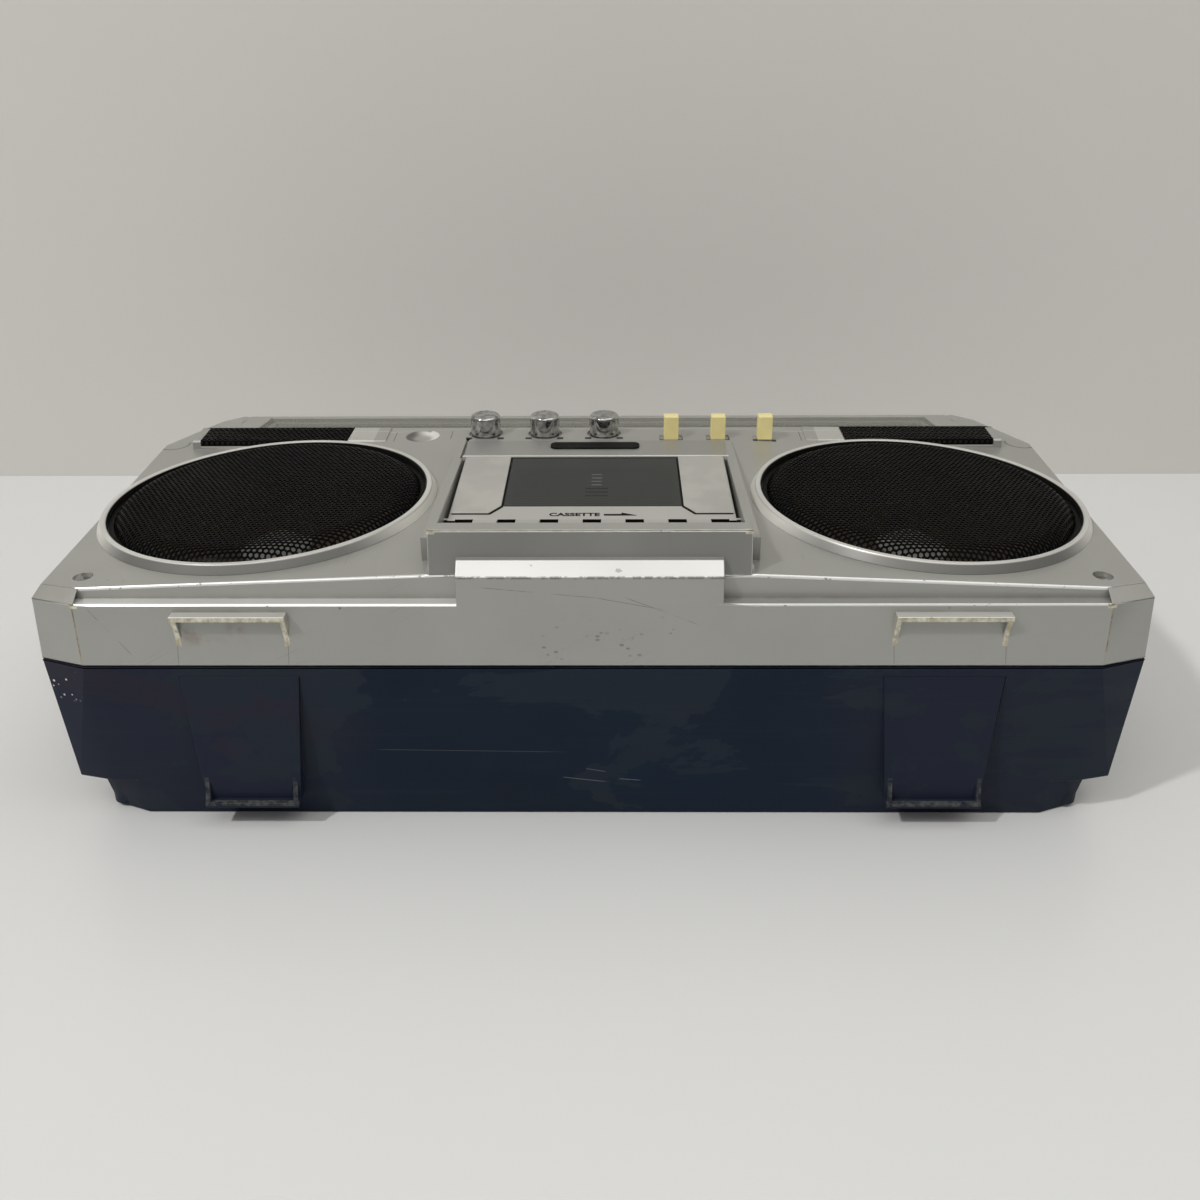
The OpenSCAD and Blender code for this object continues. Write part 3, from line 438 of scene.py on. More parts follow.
def paintedShadeAndHighlights(tree, colour):
    for lo, hi, strength in shadeAndHighlight["places"]:
        colour = paintBox(tree, colour, shadeAndHighlight["dull"], lo, hi, 0.2, strength)
    # tweeter bars: painted black shade behind the grille's skirt, a painted highlight on the lip below it, a
    # lighter inner end
    for x0, x1, e0, e1 in ((-215.2, -134.8, -134.6, -120.6), (134.8, 215.2, 120.6, 134.6)):
        colour = paintBox(tree, colour, shadeAndHighlight["hidden"], (x0, 56.7, 120.1), (x1, 58.8, 123.5), 0.15)
        colour = paintBox(tree, colour, shadeAndHighlight["lip"], (x0, 56.5, 119.3), (x1, 57.3, 120.1), 0.15, 0.7)
        colour = paintBox(tree, colour, shadeAndHighlight["block"], (e0, 57.2, 122.4), (e1, 77.8, 124), 0.2, 0.55)
    # painted highlight: a light line along the dial window's near edge
    return paintBox(tree, colour, shadeAndHighlight["dialEdge"], (-185, 71.4, 120), (185, 72.4, 127), 0.2, 0.5)


dish = {"x": -94.8, "y": 184.0, "radius": 9.1, "dark": (0.10, 0.10, 0.095), "bright": (0.88, 0.88, 0.86)}


def dishShade(tree, colour):
    # the shallow dish: dark on its near left, bright on its far right
    dx, dy, radius = fromPoint(tree, dish["x"], up(dish["y"]))
    r = dish["radius"] * mm
    inside = times(ramp(radius, 0.30 * r, 0.75 * r), ramp(radius, 1.03 * r, 0.99 * r))
    side = ramp(mathNode("MULTIPLY_ADD", dy, 0.35, dx), -0.5 * r, 0.6 * r)
    return paint(colour, mixColour(side, dish["dark"], dish["bright"]), inside, 0.85)


knob = {"first": -60.0, "pitch": 32.3, "y": 185, "radius": 8.0, "height": 11.0, "shoulder": 1.9, "steps": 96,
        "names": ("volume", "tone", "tuning"), "recess": 9.6, "slotX": 8.6}
lever = {"x": (40.9, 66.1, 91.3), "y": 178, "wide": 8.0, "deep": 7.0, "tall": 12.5, "round": 0.45,
         "taper": (0.97, 0.94), "names": ("band", "mode", "tape"), "slotX": 5.1}


def controlShadows(tree, colour):
    # dark slots under the near sides of knobs and levers
    knobY = up(knob["y"])
    leverY = up(lever["y"])
    r = knob["recess"]
    for i in range(3):
        x = knob["first"] + i * knob["pitch"]
        recess = (x - r, knobY - r, 122), (x + r, knobY + r, 124.0)
        colour = paintBox(tree, colour, (0.03, 0.03, 0.03), *recess, 0.12, 0.4)
        for wing in (-1, 1):
            x0 = x + wing * knob["slotX"]
            slot = (x0 - 1.7, knobY - r, 122), (x0 + 1.7, knobY - 6.4, 124.7)
            colour = paintBox(tree, colour, (0.008, 0.008, 0.008), *slot, 0.25)
            x1 = lever["x"][i] + wing * lever["slotX"]
            slot = (x1 - 1.2, leverY - 4.4, 122), (x1 + 1.2, leverY - 1.0, 124.7)
            colour = paintBox(tree, colour, (0.02, 0.017, 0.012), *slot, 0.2)
    return colour


navy = {"ends": (0.0165, 0.0200, 0.0370), "teal": (0.0165, 0.0255, 0.0370), "plum": (0.0210, 0.0195, 0.0350),
        "bristle": (0.026, 0.034, 0.042), "ribGrey": ((0.03, 0.032, 0.034), (0.085, 0.088, 0.088)),
        "ribLegs": (-176.0, -135.8, 133.8, 174.0), "legWide": 2.0, "speck": (0.72, 0.73, 0.72),
        "scratches": (((-14, 22.5), (8, 19.5), 0.3, 0.5), ((-3, 27.5), (7, 25.5), 0.25, 0.5),
                      ((12, 21.5), (23, 20.5), 0.3, 0.5), ((-100, 38.5), (-8, 37), 0.3, 0.2)),
        "scratchTint": (0.22, 0.23, 0.23)}


def navyMarks(tree, colour):
    # touched up by brush with other blues; grey bare ribs, white specks at one corner, scratches
    co = objectCoord(tree)
    ends = ramp(mathNode("ABSOLUTE", splitCoord(tree)[0]), 0.085, 0.15)
    colour = paint(colour, navy["ends"], ends, 0.8)
    stroke = mapped(co, (0.8, 1.0, 1.3))
    teal = ramp(noise(stroke, 15, 5, 0.6, 0.7), 0.535, 0.555)
    colour = paint(colour, navy["teal"], teal, 0.7)
    stroke = mapped(co, (0.7, 1.0, 1.1), (0, 0, 0), (3.1, 1.7, 0.4))
    plum = ramp(noise(stroke, 14, 5, 0.6, 0.7), 0.56, 0.58)
    colour = paint(colour, navy["plum"], plum, 0.8, ends)
    stroke = mapped(co, (0.12, 1.0, 3.0))
    bristle = ramp(noise(stroke, 90, 4, 0.6), 0.5, 0.75)
    colour = paint(colour, navy["bristle"], bristle, 0.15)
    worn = patches(tree, 210, 4, 0.6, 0.30, 0.5)
    grey = mixColour(patches(tree, 400, 4, 0.55, 0.35, 0.65), *navy["ribGrey"])
    ribs = [((None, None, 13.2), (None, -122.6, 15.2))]
    for x in navy["ribLegs"]:
        ribs.append(((x, None, 13.2), (x + navy["legWide"], -121.2, 26)))
    for lo, hi in ribs:
        colour = paintBox(tree, colour, grey, lo, hi, 0.3, worn)
    for start, end, width, strength in navy["scratches"]:
        colour = paint(colour, navy["scratchTint"], wallLine(tree, start, end, width), strength)
    dot = ramp(cells(co, 330), 0.24, 0.18)
    some = patches(tree, 150, 2, 0.5, 0.45, 0.51)
    corner = boxMask(tree, (None, None, 65), (-226.5, -106, 94), 2.0)
    return paint(colour, navy["speck"], dot, some, corner)


def doorNotchShade(tree, colour):
    # painted shade: the undersides of the notches between the key tips are painted black
    return paintBox(tree, colour, (0.006, 0.006, 0.006), (None, None, None), (None, -59.6, 126.65), 0.06)


# x and y on the sloping panel, planX seen from straight above
woofer = {"x": 87.07, "y": 94.3, "planX": 157.0, "ringInner": 75.7, "ringWidth": 5.1, "ringHeight": 4.2,
          "ringSteps": 200}


def ringLightAndShade(tree, colour):
    # painted light and shade on the trim rings: outer walls painted light, with painted shade towards the
    # bottom face; inner walls painted black as shade
    dy, radius = fromPoint(tree, woofer["planX"], up(woofer["y"]), True)[1:]
    inner = woofer["ringInner"]
    wall = ramp(radius, (inner + 2.8) * mm, (inner + 3.2) * mm)
    near = ramp(dy, -0.03, -0.066)
    tint = mixColour(near, (0.93, 0.92, 0.87), (0.14, 0.14, 0.13))
    colour = paint(colour, tint, wall, 0.85)
    inside = ramp(radius, (inner + 0.5) * mm, (inner + 0.1) * mm)
    return paint(colour, (0.015, 0.015, 0.014), inside)


cone = {"paper": ((0.034, 0.023, 0.014), (0.098, 0.071, 0.046)), "rim": (0.02, 0.019, 0.018),
        "cap": ((0.20, 0.20, 0.19), (0.38, 0.38, 0.36)), "capRadius": 0.0180, "rimRadius": 0.0595,
        "rings": 2100.0}


def conePaper(name, side):
    mat, tree, bsdf = newMaterial(name)
    co = objectCoord(tree)
    r = fromPoint(tree, side * woofer["planX"], up(woofer["y"]))[2]
    fibre = noise(co, 420, 6, 0.7)
    paper = mixColour(fibre, *cone["paper"])
    cap = ramp(r, cone["capRadius"], cone["capRadius"] - 0.001)
    colour = paint(paper, mixColour(noise(co, 60, 3), *cone["cap"]), cap)
    colour = paint(colour, cone["rim"], ramp(r, cone["rimRadius"], cone["rimRadius"] + 0.001))
    link(colour, bsdf.inputs["Base Color"])
    link(ramp(cap, 1.6, -0.5, "LINEAR"), bsdf.inputs["Roughness"])
    rings = mathNode("SINE", times(r, cone["rings"]))
    bumped(bsdf, mathNode("MULTIPLY_ADD", rings, 0.5, fibre), 0.35, 0.0003)
    return mat


def clearPlastic(name, spec):
    mat, tree, bsdf = newMaterial(name)
    haze = noise(objectCoord(tree), 30, 5, 0.6)
    colour = mixColour(haze, spec["colour"], spec["colour2"])
    height = haze
    if "ribs" in spec:
        wave = times(splitCoord(tree)[1], math.tau / (spec["ribs"] * mm))
        lower = boxMask(tree, (-38.5, None, None), (38.5, 6.0, None), 1.5)
        line = times(ramp(mathNode("SINE", wave), 0.2, 0.9), lower)
        colour = paint(colour, tuple(c * 0.55 for c in spec["colour"]), line, 0.6)
        height = mathNode("MULTIPLY_ADD", line, -2.0, haze)
    link(colour, bsdf.inputs["Base Color"])
    link(mathNode("MULTIPLY_ADD", haze, 0.15, spec["roughness"]), bsdf.inputs["Roughness"])
    bsdf.inputs["Specular IOR Level"].default_value = spec.get("specular", 0.5)
    bsdf.inputs["Transmission Weight"].default_value = spec["clear"]
    bsdf.inputs["Alpha"].default_value = spec.get("alpha", 1.0)
    bsdf.inputs["IOR"].default_value = 1.49
    bumped(bsdf, height, 0.04, 0.0003)
    return mat


def boardLaminate(name):
    mat, tree, bsdf = newMaterial(name)
    co = objectCoord(tree)
    weave = noise(mapped(co, (1, 4, 1)), 260, 4)
    colour = mixColour(weave, (0.12, 0.075, 0.03), (0.24, 0.16, 0.07))
    tracks = tree.nodes.new("ShaderNodeTexVoronoi")
    tracks.distance = "MANHATTAN"
    tracks.feature = "DISTANCE_TO_EDGE"
    tracks.inputs["Scale"].default_value = 110
    link(co, tracks.inputs["Vector"])
    edge = ramp(tracks.outputs["Distance"], 0.10, 0.07)
    link(paint(colour, (0.05, 0.10, 0.03), edge, 0.5), bsdf.inputs["Base Color"])
    link(ramp(weave, -1.0, 2.2, "LINEAR"), bsdf.inputs["Roughness"])
    return mat


# what every finish says comes first, what only some have is named
def metal(colour, metallic, roughness, grain=0.1, **more):
    return {"colour": colour, "metallic": metallic, "roughness": roughness, "grain": grain, **more}


def plain(colour, roughness, grain, **more):
    return metal(colour, 0.0, roughness, grain, **more)


finishSpecs = {
    "silver_shell": metal((0.41, 0.41, 0.385), 0.45, 0.36, 0.05, roughSpread=0.10, uneven=0.07,
                          grainScale=2200.0, rounded=0.0004, dirt=0.55, dirtColour=(0.10, 0.09, 0.07),
                          wear=0.8, wearColour=(0.62, 0.60, 0.50), wearLow=0.50, wearHigh=0.62,
                          scratch=0.3, scratchColour=(0.16, 0.155, 0.145),
                          marks=(paintedChamferHighlights, paintedShadeAndHighlights, dishShade, wallScuffs, bareMoulding,
                                 cornerScoopShade, controlShadows)),
    "navy_shell": plain((0.0066, 0.0165, 0.0350), 0.44, 0.10, specular=0.13, roughSpread=0.22, uneven=0.25,
                        grainScale=700.0, rounded=0.0006, dirt=0.35, dirtColour=(0.006, 0.007, 0.009),
                        wear=0.5, wearColour=(0.12, 0.125, 0.125), wearLow=0.52, wearHigh=0.66,
                        scratch=0.3, scratchColour=(0.12, 0.125, 0.13), scratchTurn=0.1, scratchCut=0.74,
                        marks=(navyMarks,)),
    "trim_silver": metal((0.82, 0.81, 0.77), 0.45, 0.36, 0.05, grainScale=1800.0, rounded=0.0003, dirt=0.3,
                         wear=0.3, wearColour=(0.75, 0.73, 0.66)),
    "grille_black": plain((0.0028, 0.0028, 0.0028), 0.36, 0.06, uneven=0.35, specular=0.03),
    "basket_steel": metal((0.32, 0.31, 0.28), 0.9, 0.42, uneven=0.25, dirt=0.4),
    "black_plastic": plain((0.018, 0.018, 0.019), 0.45, 0.18, uneven=0.2),
    "pointer_red": plain((0.62, 0.045, 0.02), 0.35, 0.04),
    "knob_chrome": metal((0.66, 0.66, 0.65), 1.0, 0.11, 0.05, roughSpread=0.14, uneven=0.6, toneScale=340.0,
                         dirt=0.5),
    "bright_steel": metal((0.55, 0.54, 0.52), 1.0, 0.28, 0.05, uneven=0.15, dirt=0.25),
    "lever_cream": plain((0.90, 0.78, 0.37), 0.42, 0.08, uneven=0.08, toneScale=160.0, dirt=0.3,
                         dirtColour=(0.25, 0.19, 0.08)),
    "key_silver": metal((0.52, 0.52, 0.49), 0.4, 0.38, 0.05, rounded=0.0004, wear=0.3),
    "roller_rubber": plain((0.02, 0.02, 0.02), 0.8, 0.25),
    "white_plastic": plain((0.70, 0.69, 0.64), 0.45, 0.08, dirt=0.2),
    "pulley_brass": metal((0.62, 0.43, 0.17), 1.0, 0.3, 0.04),
    "ferrite": plain((0.055, 0.048, 0.045), 0.5, 0.15),
    "core_steel": metal((0.16, 0.14, 0.12), 0.6, 0.5, 0.15, dirt=0.3),
    "handle_black": plain((0.022, 0.023, 0.026), 0.42, 0.16, grainScale=1300.0, rounded=0.001, wear=0.4,
                          wearColour=(0.09, 0.09, 0.09)),
    "antenna_chrome": metal((0.68, 0.68, 0.67), 1.0, 0.12, 0.02, roughSpread=0.1),
    "screw_steel": metal((0.62, 0.61, 0.58), 1.0, 0.34, 0.06, dirt=0.4),
    "print_ink": plain((0.006, 0.006, 0.006), 0.6, 0.04, specular=0.1),
    "print_pale": plain((0.62, 0.62, 0.58), 0.5, 0.04),
    "mark_grey": plain((0.115, 0.118, 0.112), 0.5, 0.04),
    "mark_dark": plain((0.024, 0.026, 0.025), 0.5, 0.04, specular=0.15),
    "badge_black": plain((0.005, 0.005, 0.005), 0.6, 0.1, specular=0.12, wear=0.3,
                         wearColour=(0.25, 0.25, 0.24)),
    "scale_ground": plain((0.030, 0.036, 0.032), 0.4, 0.05),
}
# finishes that start from another one
plainSilver = {key: v for key, v in finishSpecs["silver_shell"].items() if key not in ("marks", "wear")}
trim = finishSpecs["trim_silver"]
finishSpecs["corner_silver"] = {**plainSilver, "colour": (0.36, 0.355, 0.33)}
finishSpecs["ring_silver"] = {**trim, "colour": (0.70, 0.695, 0.66), "marks": (ringLightAndShade,)}
finishSpecs["plate_silver"] = {**trim, "colour": (0.51, 0.505, 0.475), "uneven": 0.05}
finishSpecs["door_silver"] = {**trim, "colour": (0.55, 0.545, 0.515), "uneven": 0.05, "marks": (doorNotchShade,)}

finishes = {name: finish(name, spec) for name, spec in finishSpecs.items()}
finishes["window_smoke"] = clearPlastic("window_smoke", {
    "colour": (0.034, 0.037, 0.035), "colour2": (0.042, 0.045, 0.043), "clear": 0.15, "roughness": 0.36,
    "specular": 0.18, "ribs": 3.0})
finishes["dial_clear"] = clearPlastic("dial_clear", {
    "colour": (0.34, 0.345, 0.30), "colour2": (0.39, 0.39, 0.335), "clear": 0.0, "roughness": 0.22,
    "alpha": 0.32})
finishes["board_brown"] = boardLaminate("board_brown")
finishes["cone_paper"] = conePaper("cone_paper_right", 1)

ownFinish = {"left_woofer_cone": conePaper("cone_paper_left", -1), "dial_scale": finishes["scale_ground"],
             "cassette_door": finishes["door_silver"], "door_side_plates": finishes["plate_silver"]}
for name, node in nodes.items():
    mat = ownFinish.get(name) or finishes.get(slotOf.get(name), finishes["black_plastic"])
    node.data.materials.clear()
    node.data.materials.append(mat)
print("finishes ready:", len(bpy.data.materials))


# building pieces

def newMesh(name, bm):
    mesh = bpy.data.meshes.new(name)
    bm.to_mesh(mesh)
    bm.free()
    return mesh


def newObject(name, data):
    obj = bpy.data.objects.new(name, data)
    bpy.context.scene.collection.objects.link(obj)
    return obj


def asPiece(name, bm, mat, body, replaces=(), angle=32, flatFaces=False):
    mesh = newMesh(name, bm)
    mesh.shade_smooth()
    mesh.set_sharp_from_angle(angle=math.radians(angle))
    mesh.materials.append(mat)
    obj = newObject(name, mesh)
    if flatFaces:
        flat = obj.modifiers.new("flatFaces", "WEIGHTED_NORMAL")
        flat.keep_sharp = True
        flat.weight = 100
    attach(obj, body)
    if replaces:
        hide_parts(*replaces)


def standIn(nodeName, bm, mat, body, angle, flatFaces):
    # a piece that takes a CAD node's place, with its name in camelCase and its slot
    first, *rest = nodeName.split("_")
    name = first + "".join(word.capitalize() for word in rest)
    asPiece(name, bm, mat, body, (nodeName,), angle, flatFaces)


def weld(bm, reach):
    bmesh.ops.remove_doubles(bm, verts=bm.verts[:], dist=reach)


def nodeCopy(nodeName):
    bm = bmesh.new()
    bm.from_mesh(nodes[nodeName].data)
    weld(bm, 2e-6)
    return bm


def joinInto(bm, other):
    mesh = newMesh("joined", other)
    bm.from_mesh(mesh)
    bpy.data.meshes.remove(mesh)


def addBox(bm, lo, hi):
    middle = (Vector(lo) + Vector(hi)) / 2 * mm
    size = (Vector(hi) - Vector(lo)) * mm
    placed = Matrix.Translation(middle) @ Matrix.Diagonal((*size, 1))
    return bmesh.ops.create_cube(bm, size=1.0, matrix=placed)["verts"]


def newBox(lo, hi):
    bm = bmesh.new()
    addBox(bm, lo, hi)
    return bm


def roundEdges(bm, edges, width, segments):
    bmesh.ops.bevel(bm, geom=edges, offset=width * mm, offset_type="OFFSET", affect="EDGES",
                    segments=segments, profile=0.5, material=-1, clamp_overlap=False, loop_slide=True)


def softEdged(nodeName, spec):
    # copy of a moulded node with its long outer edges rounded
    bm = nodeCopy(nodeName)
    bmesh.ops.dissolve_limit(bm, angle_limit=math.radians(0.6), verts=bm.verts[:], edges=bm.edges[:],
                             delimit={"NORMAL"})
    turn = math.radians(spec.get("turn", 28))
    for width, segments, test in spec.get("passes") or ((spec["round"], 4, anyEdge),):
        bm.normal_update()
        chosen = []
        for e in bm.edges:
            a, b = e.verts[0].co / mm, e.verts[1].co / mm
            if not (e.is_manifold and e.is_convex) or e.calc_face_angle(0) < turn:
                continue
            if (b - a).length > spec.get("shortest", 5) and test((a + b) / 2, (b - a).normalized()):
                chosen.append(e)
        roundEdges(bm, chosen, width, segments)
        weld(bm, 5e-6)
    mat = ownFinish.get(nodeName, finishes[slotOf[nodeName]])
    standIn(nodeName, bm, mat, spec["body"], 24, True)


def anyEdge(middle, along):
    return True


def lengthwise(middle, along):
    return abs(along.x) > 0.9


def ledgeEdge(middle, along):
    return abs(along.x) > 0.97 and abs(middle.y + 120) < 0.4 and 112 < middle.z < 116


def plateEdge(middle, along):
    return abs(along.x) > 0.97 and abs(middle.y + 114) < 0.4 and middle.z > 112


def shellEdge(middle, along):
    # the tweeter bars' front edges stay as they are
    return not (abs(along.x) > 0.9 and 56.4 < middle.y < 58.8 and middle.z > 118)


# round: width all over; or passes of width, segments and which edges; shorter edges stay sharp
softEdges = {
    "front_shell": {"body": "cabinet", "shortest": 6, "turn": 50,
                    "passes": ((0.8, 1, ledgeEdge), (1.1, 1, plateEdge), (0.4, 4, shellEdge))},
    "rear_cover": {"body": "cabinet", "round": 0.6, "shortest": 6},
    "battery_door": {"body": "cabinet", "round": 0.5},
    "cassette_door": {"body": "door", "round": 0.3, "shortest": 12},
    "door_side_plates": {"body": "door", "round": 0.15},
    "handle_grip": {"body": "handle", "passes": ((2.2, 4, lengthwise),)},
    "left_handle_arm": {"body": "handle", "round": 0.9, "shortest": 3},
    "right_handle_arm": {"body": "handle", "round": 0.9, "shortest": 3},
    "antenna_base": {"body": "cabinet", "round": 0.4, "shortest": 2},
}
for key in ("record", "play", "rewind", "forward", "stop", "pause"):
    softEdges[key + "_key"] = {"body": key, "round": 0.4, "shortest": 4}
for nodeName, spec in softEdges.items():
    softEdged(nodeName, spec)
print("moulded pieces rounded:", len(softEdges))


def spunProfile(points, steps):
    # turns a profile of (radius, height) about Z
    bm = bmesh.new()
    last = None
    for r, z in points:
        v = bm.verts.new((r * mm, 0, z * mm))
        if last:
            bm.edges.new((last, v))
        last = v
    bmesh.ops.spin(bm, geom=bm.verts[:] + bm.edges[:], cent=(0, 0, 0), axis=(0, 0, 1), dvec=(0, 0, 0),
                   angle=math.tau, steps=steps, use_merge=True, use_duplicate=False)
    weld(bm, 1e-7)
    bmesh.ops.recalc_face_normals(bm, faces=bm.faces[:])
    return bm


def shift(bm, x, y, z):
    bmesh.ops.translate(bm, verts=bm.verts[:], vec=Vector((x, y, z)) * mm)


def faceSide(bm, side):
    # pieces are made for the right side; the left one is the mirror image
    if side < 0:
        bmesh.ops.scale(bm, vec=(-1, 1, 1), verts=bm.verts[:])
        bmesh.ops.reverse_faces(bm, faces=bm.faces[:])


def onPanel(bm, side):
    # the speaker panel's slope
    origin = Vector((case["middleHalf"], case["bottomY"], case["panelZ"])) * mm
    m = Matrix.Translation(origin) @ Matrix.Rotation(case["tilt"], 4, "Y")
    bmesh.ops.transform(bm, matrix=m, verts=bm.verts[:])
    faceSide(bm, side)


def hexSheet(across, along, pitch, bar):
    # perforated sheet: one six-sided cell with a hole, repeated in staggered rows and welded
    bm = bmesh.new()
    bmesh.ops.create_circle(bm, cap_ends=True, segments=6, radius=pitch / math.sqrt(3) * mm)
    bm.normal_update()
    cell = bmesh.ops.inset_individual(bm, faces=bm.faces[:], thickness=bar / 2 * mm, use_even_offset=True)
    hole = [f for f in bm.faces if f not in cell["faces"]]
    bmesh.ops.delete(bm, geom=hole, context="FACES_ONLY")
    rowStep = pitch * math.sqrt(3) / 2
    columns = int(across / pitch) + 3
    rows = int(along / rowStep) + 3
    for count, step in ((columns, Vector((pitch, 0, 0))), (rows, Vector((0, rowStep, 0)))):
        first = bm.verts[:] + bm.edges[:] + bm.faces[:]
        for i in range(1, count):
            made = bmesh.ops.duplicate(bm, geom=first)["geom"]
            move = step * i
            if step.y and i % 2:
                move = move + Vector((pitch / 2, 0, 0))
            copied = [g for g in made if isinstance(g, bmesh.types.BMVert)]
            bmesh.ops.translate(bm, verts=copied, vec=move * mm)
    weld(bm, 0.02 * mm)
    return bm


wooferGrille = {"pitch": 2.55, "bar": 0.78, "sheet": 0.55, "reach": 73.6, "flat": 59.7, "crown": 7.9,
                "sag": 1.3, "skirt": 5.6, "rimSteps": 160,
                "rim": ((72.0, 0.9), (72.9, 1.45), (75.3, 1.3), (75.3, 0.1), (72.4, 0.1), (72.0, 0.9))}


def grilleHeight(r):
    # nearly flat crown with a steep rounded edge
    w = wooferGrille
    if r < w["flat"]:
        return w["crown"] - w["sag"] * (r / w["flat"]) ** 2
    t = min(1.0, (r - w["flat"]) / (w["reach"] - 0.5 - w["flat"]))
    return w["crown"] - w["sag"] - w["skirt"] * t ** 3.5


def buildWooferGrille(side, word):
    w = wooferGrille
    reach = w["reach"]
    bm = hexSheet(2 * reach, 2 * reach, w["pitch"], w["bar"])
    shift(bm, -reach - w["pitch"], -reach - w["pitch"], 0)
    far = [v for v in bm.verts if v.co.to_2d().length > reach * mm]
    bmesh.ops.delete(bm, geom=far, context="VERTS")
    for v in bm.verts:
        v.co.z = grilleHeight(v.co.to_2d().length / mm) * mm
    bm.normal_update()
    bmesh.ops.solidify(bm, geom=bm.faces[:], thickness=w["sheet"] * mm)
    joinInto(bm, spunProfile(w["rim"], w["rimSteps"]))
    shift(bm, woofer["x"], woofer["y"], 0)
    onPanel(bm, side)
    standIn(word + "_woofer_grille", bm, finishes["grille_black"], "cabinet", 40, False)


def buildTrimRing(side, word):
    a = woofer["ringInner"]
    h = woofer["ringHeight"]
    top = [(a + 0.2, h - 0.4), (a + 0.7, h), (a + 2.4, h), (a + 2.75, h - 0.1), (a + 3.0, h - 0.4)]
    foot = [(a + woofer["ringWidth"], 0.05), (a, 0.05)]
    bm = spunProfile([(a, 0.05), (a, h - 0.9)] + top + foot, woofer["ringSteps"])
    shift(bm, woofer["x"], woofer["y"], 0)
    onPanel(bm, side)
    standIn(word + "_trim_ring", bm, finishes["ring_silver"], "cabinet", 28, True)


tweeterGrille = {"x": 135.1, "length": 79.8, "y": 176.8, "depth": 20.6, "z": 123.4, "skirt": 2.3,
                 "bend": 0.8, "pitch": 2.9, "bar": 1.0, "sheet": 0.5}


def skirtPlace(run):
    # place across the tweeter grille, from the foot of its front skirt over the bend to its far edge
    t = tweeterGrille
    bend = t["bend"]
    if run < t["skirt"]:
        return t["y"], t["z"] - bend - t["skirt"] + run
    a = (run - t["skirt"]) / bend
    if a < math.pi / 2:
        return t["y"] + bend * (1 - math.cos(a)), t["z"] - bend * (1 - math.sin(a))
    return t["y"] + bend + (a - math.pi / 2) * bend, t["z"]


def buildTweeterGrille(side, word):
    t = tweeterGrille
    end = t["skirt"] + t["bend"] * (math.pi / 2 - 1) + t["depth"]
    bm = hexSheet(t["length"], end, t["pitch"], t["bar"])
    shift(bm, -t["pitch"], -0.9, 0)
    ends = ((0, 0, (-1, 0, 0)), (t["length"], 0, (1, 0, 0)), (0, 0, (0, -1, 0)), (0, end, (0, 1, 0)))
    for x, y, outward in ends:
        bmesh.ops.bisect_plane(bm, geom=bm.verts[:] + bm.edges[:] + bm.faces[:],
                               plane_co=Vector((x, y, 0)) * mm, plane_no=outward, clear_outer=True)
    for v in bm.verts:
        y, z = skirtPlace(v.co.y / mm)
        v.co = Vector((t["x"] * mm + v.co.x, up(y) * mm, z * mm))
    bm.normal_update()
    bmesh.ops.solidify(bm, geom=bm.faces[:], thickness=t["sheet"] * mm)
    faceSide(bm, side)
    standIn(word + "_tweeter_grille", bm, finishes["grille_black"], "cabinet", 40, False)


def addBar(bm, start, end, thick):
    a, b = Vector(start) * mm, Vector(end) * mm
    turn = (b - a).to_track_quat("X", "Z").to_matrix().to_4x4()
    size = Matrix.Diagonal(((b - a).length, thick * mm, thick * mm, 1))
    bmesh.ops.create_cube(bm, size=1.0, matrix=Matrix.Translation((a + b) / 2) @ turn @ size)


# points in the frame itself, for the right side
cornerFill = {"plate": ((219, -114.0, 118.0), (237.3, -107.4, 117.2)),
              "wall": ((219.8, -119.8, 113.2), (239.8, -113.2, 113.2)), "thick": 0.3}


def buildCornerFill(side, word):
    # sloping facet between the plate's corner and the wall's top edge
    bm = bmesh.new()
    for edge in ("plate", "wall"):
        addBar(bm, *cornerFill[edge], cornerFill["thick"])
    inside = [v for v in bmesh.ops.convex_hull(bm, input=bm.verts[:])["geom_interior"]
              if isinstance(v, bmesh.types.BMVert)]
    bmesh.ops.delete(bm, geom=inside, context="VERTS")
    bmesh.ops.recalc_face_normals(bm, faces=bm.faces[:])
    faceSide(bm, side)
    asPiece(word + "CornerFill", bm, finishes["corner_silver"], "cabinet", (), 24)


for side, word in sides:
    buildWooferGrille(side, word)
    buildTrimRing(side, word)
    buildTweeterGrille(side, word)
    buildCornerFill(side, word)
print("grilles, rings and corners built")


def buildKnob(i):
    r, h, s = knob["radius"], knob["height"], knob["shoulder"]
    angles = [math.pi / 2 * n / 6 for n in range(7)]
    turn = [(r - s + s * math.cos(a), h - s + s * math.sin(a)) for a in angles]
    bm = spunProfile([(0, -0.35), (r - 0.3, -0.35), (r, 0.1)] + turn + [(0, h)], knob["steps"])
    addBox(bm, (-0.35, r - 4.4, h - 0.2), (0.35, r - 1.4, h + 0.05))
    shift(bm, knob["first"] + i * knob["pitch"], up(knob["y"]), case["panelZ"])
    name = knob["names"][i]
    standIn(name + "_knob", bm, finishes["knob_chrome"], name, 40, True)


def buildLever(i):
    x, y = lever["wide"] / 2, lever["deep"] / 2
    bm = newBox((-x, -y, -0.4), (x, y, lever["tall"]))
    for v in bm.verts:
        if v.co.z > 0:
            v.co.x *= lever["taper"][0]
            v.co.y *= lever["taper"][1]
    roundEdges(bm, bm.edges[:], lever["round"], 4)
    shift(bm, lever["x"][i], up(lever["y"]), case["panelZ"])
    name = lever["names"][i]
    standIn(name + "_lever", bm, finishes["lever_cream"], name, 24, True)


for i in range(3):
    buildKnob(i)
    buildLever(i)
print("knobs and levers built")
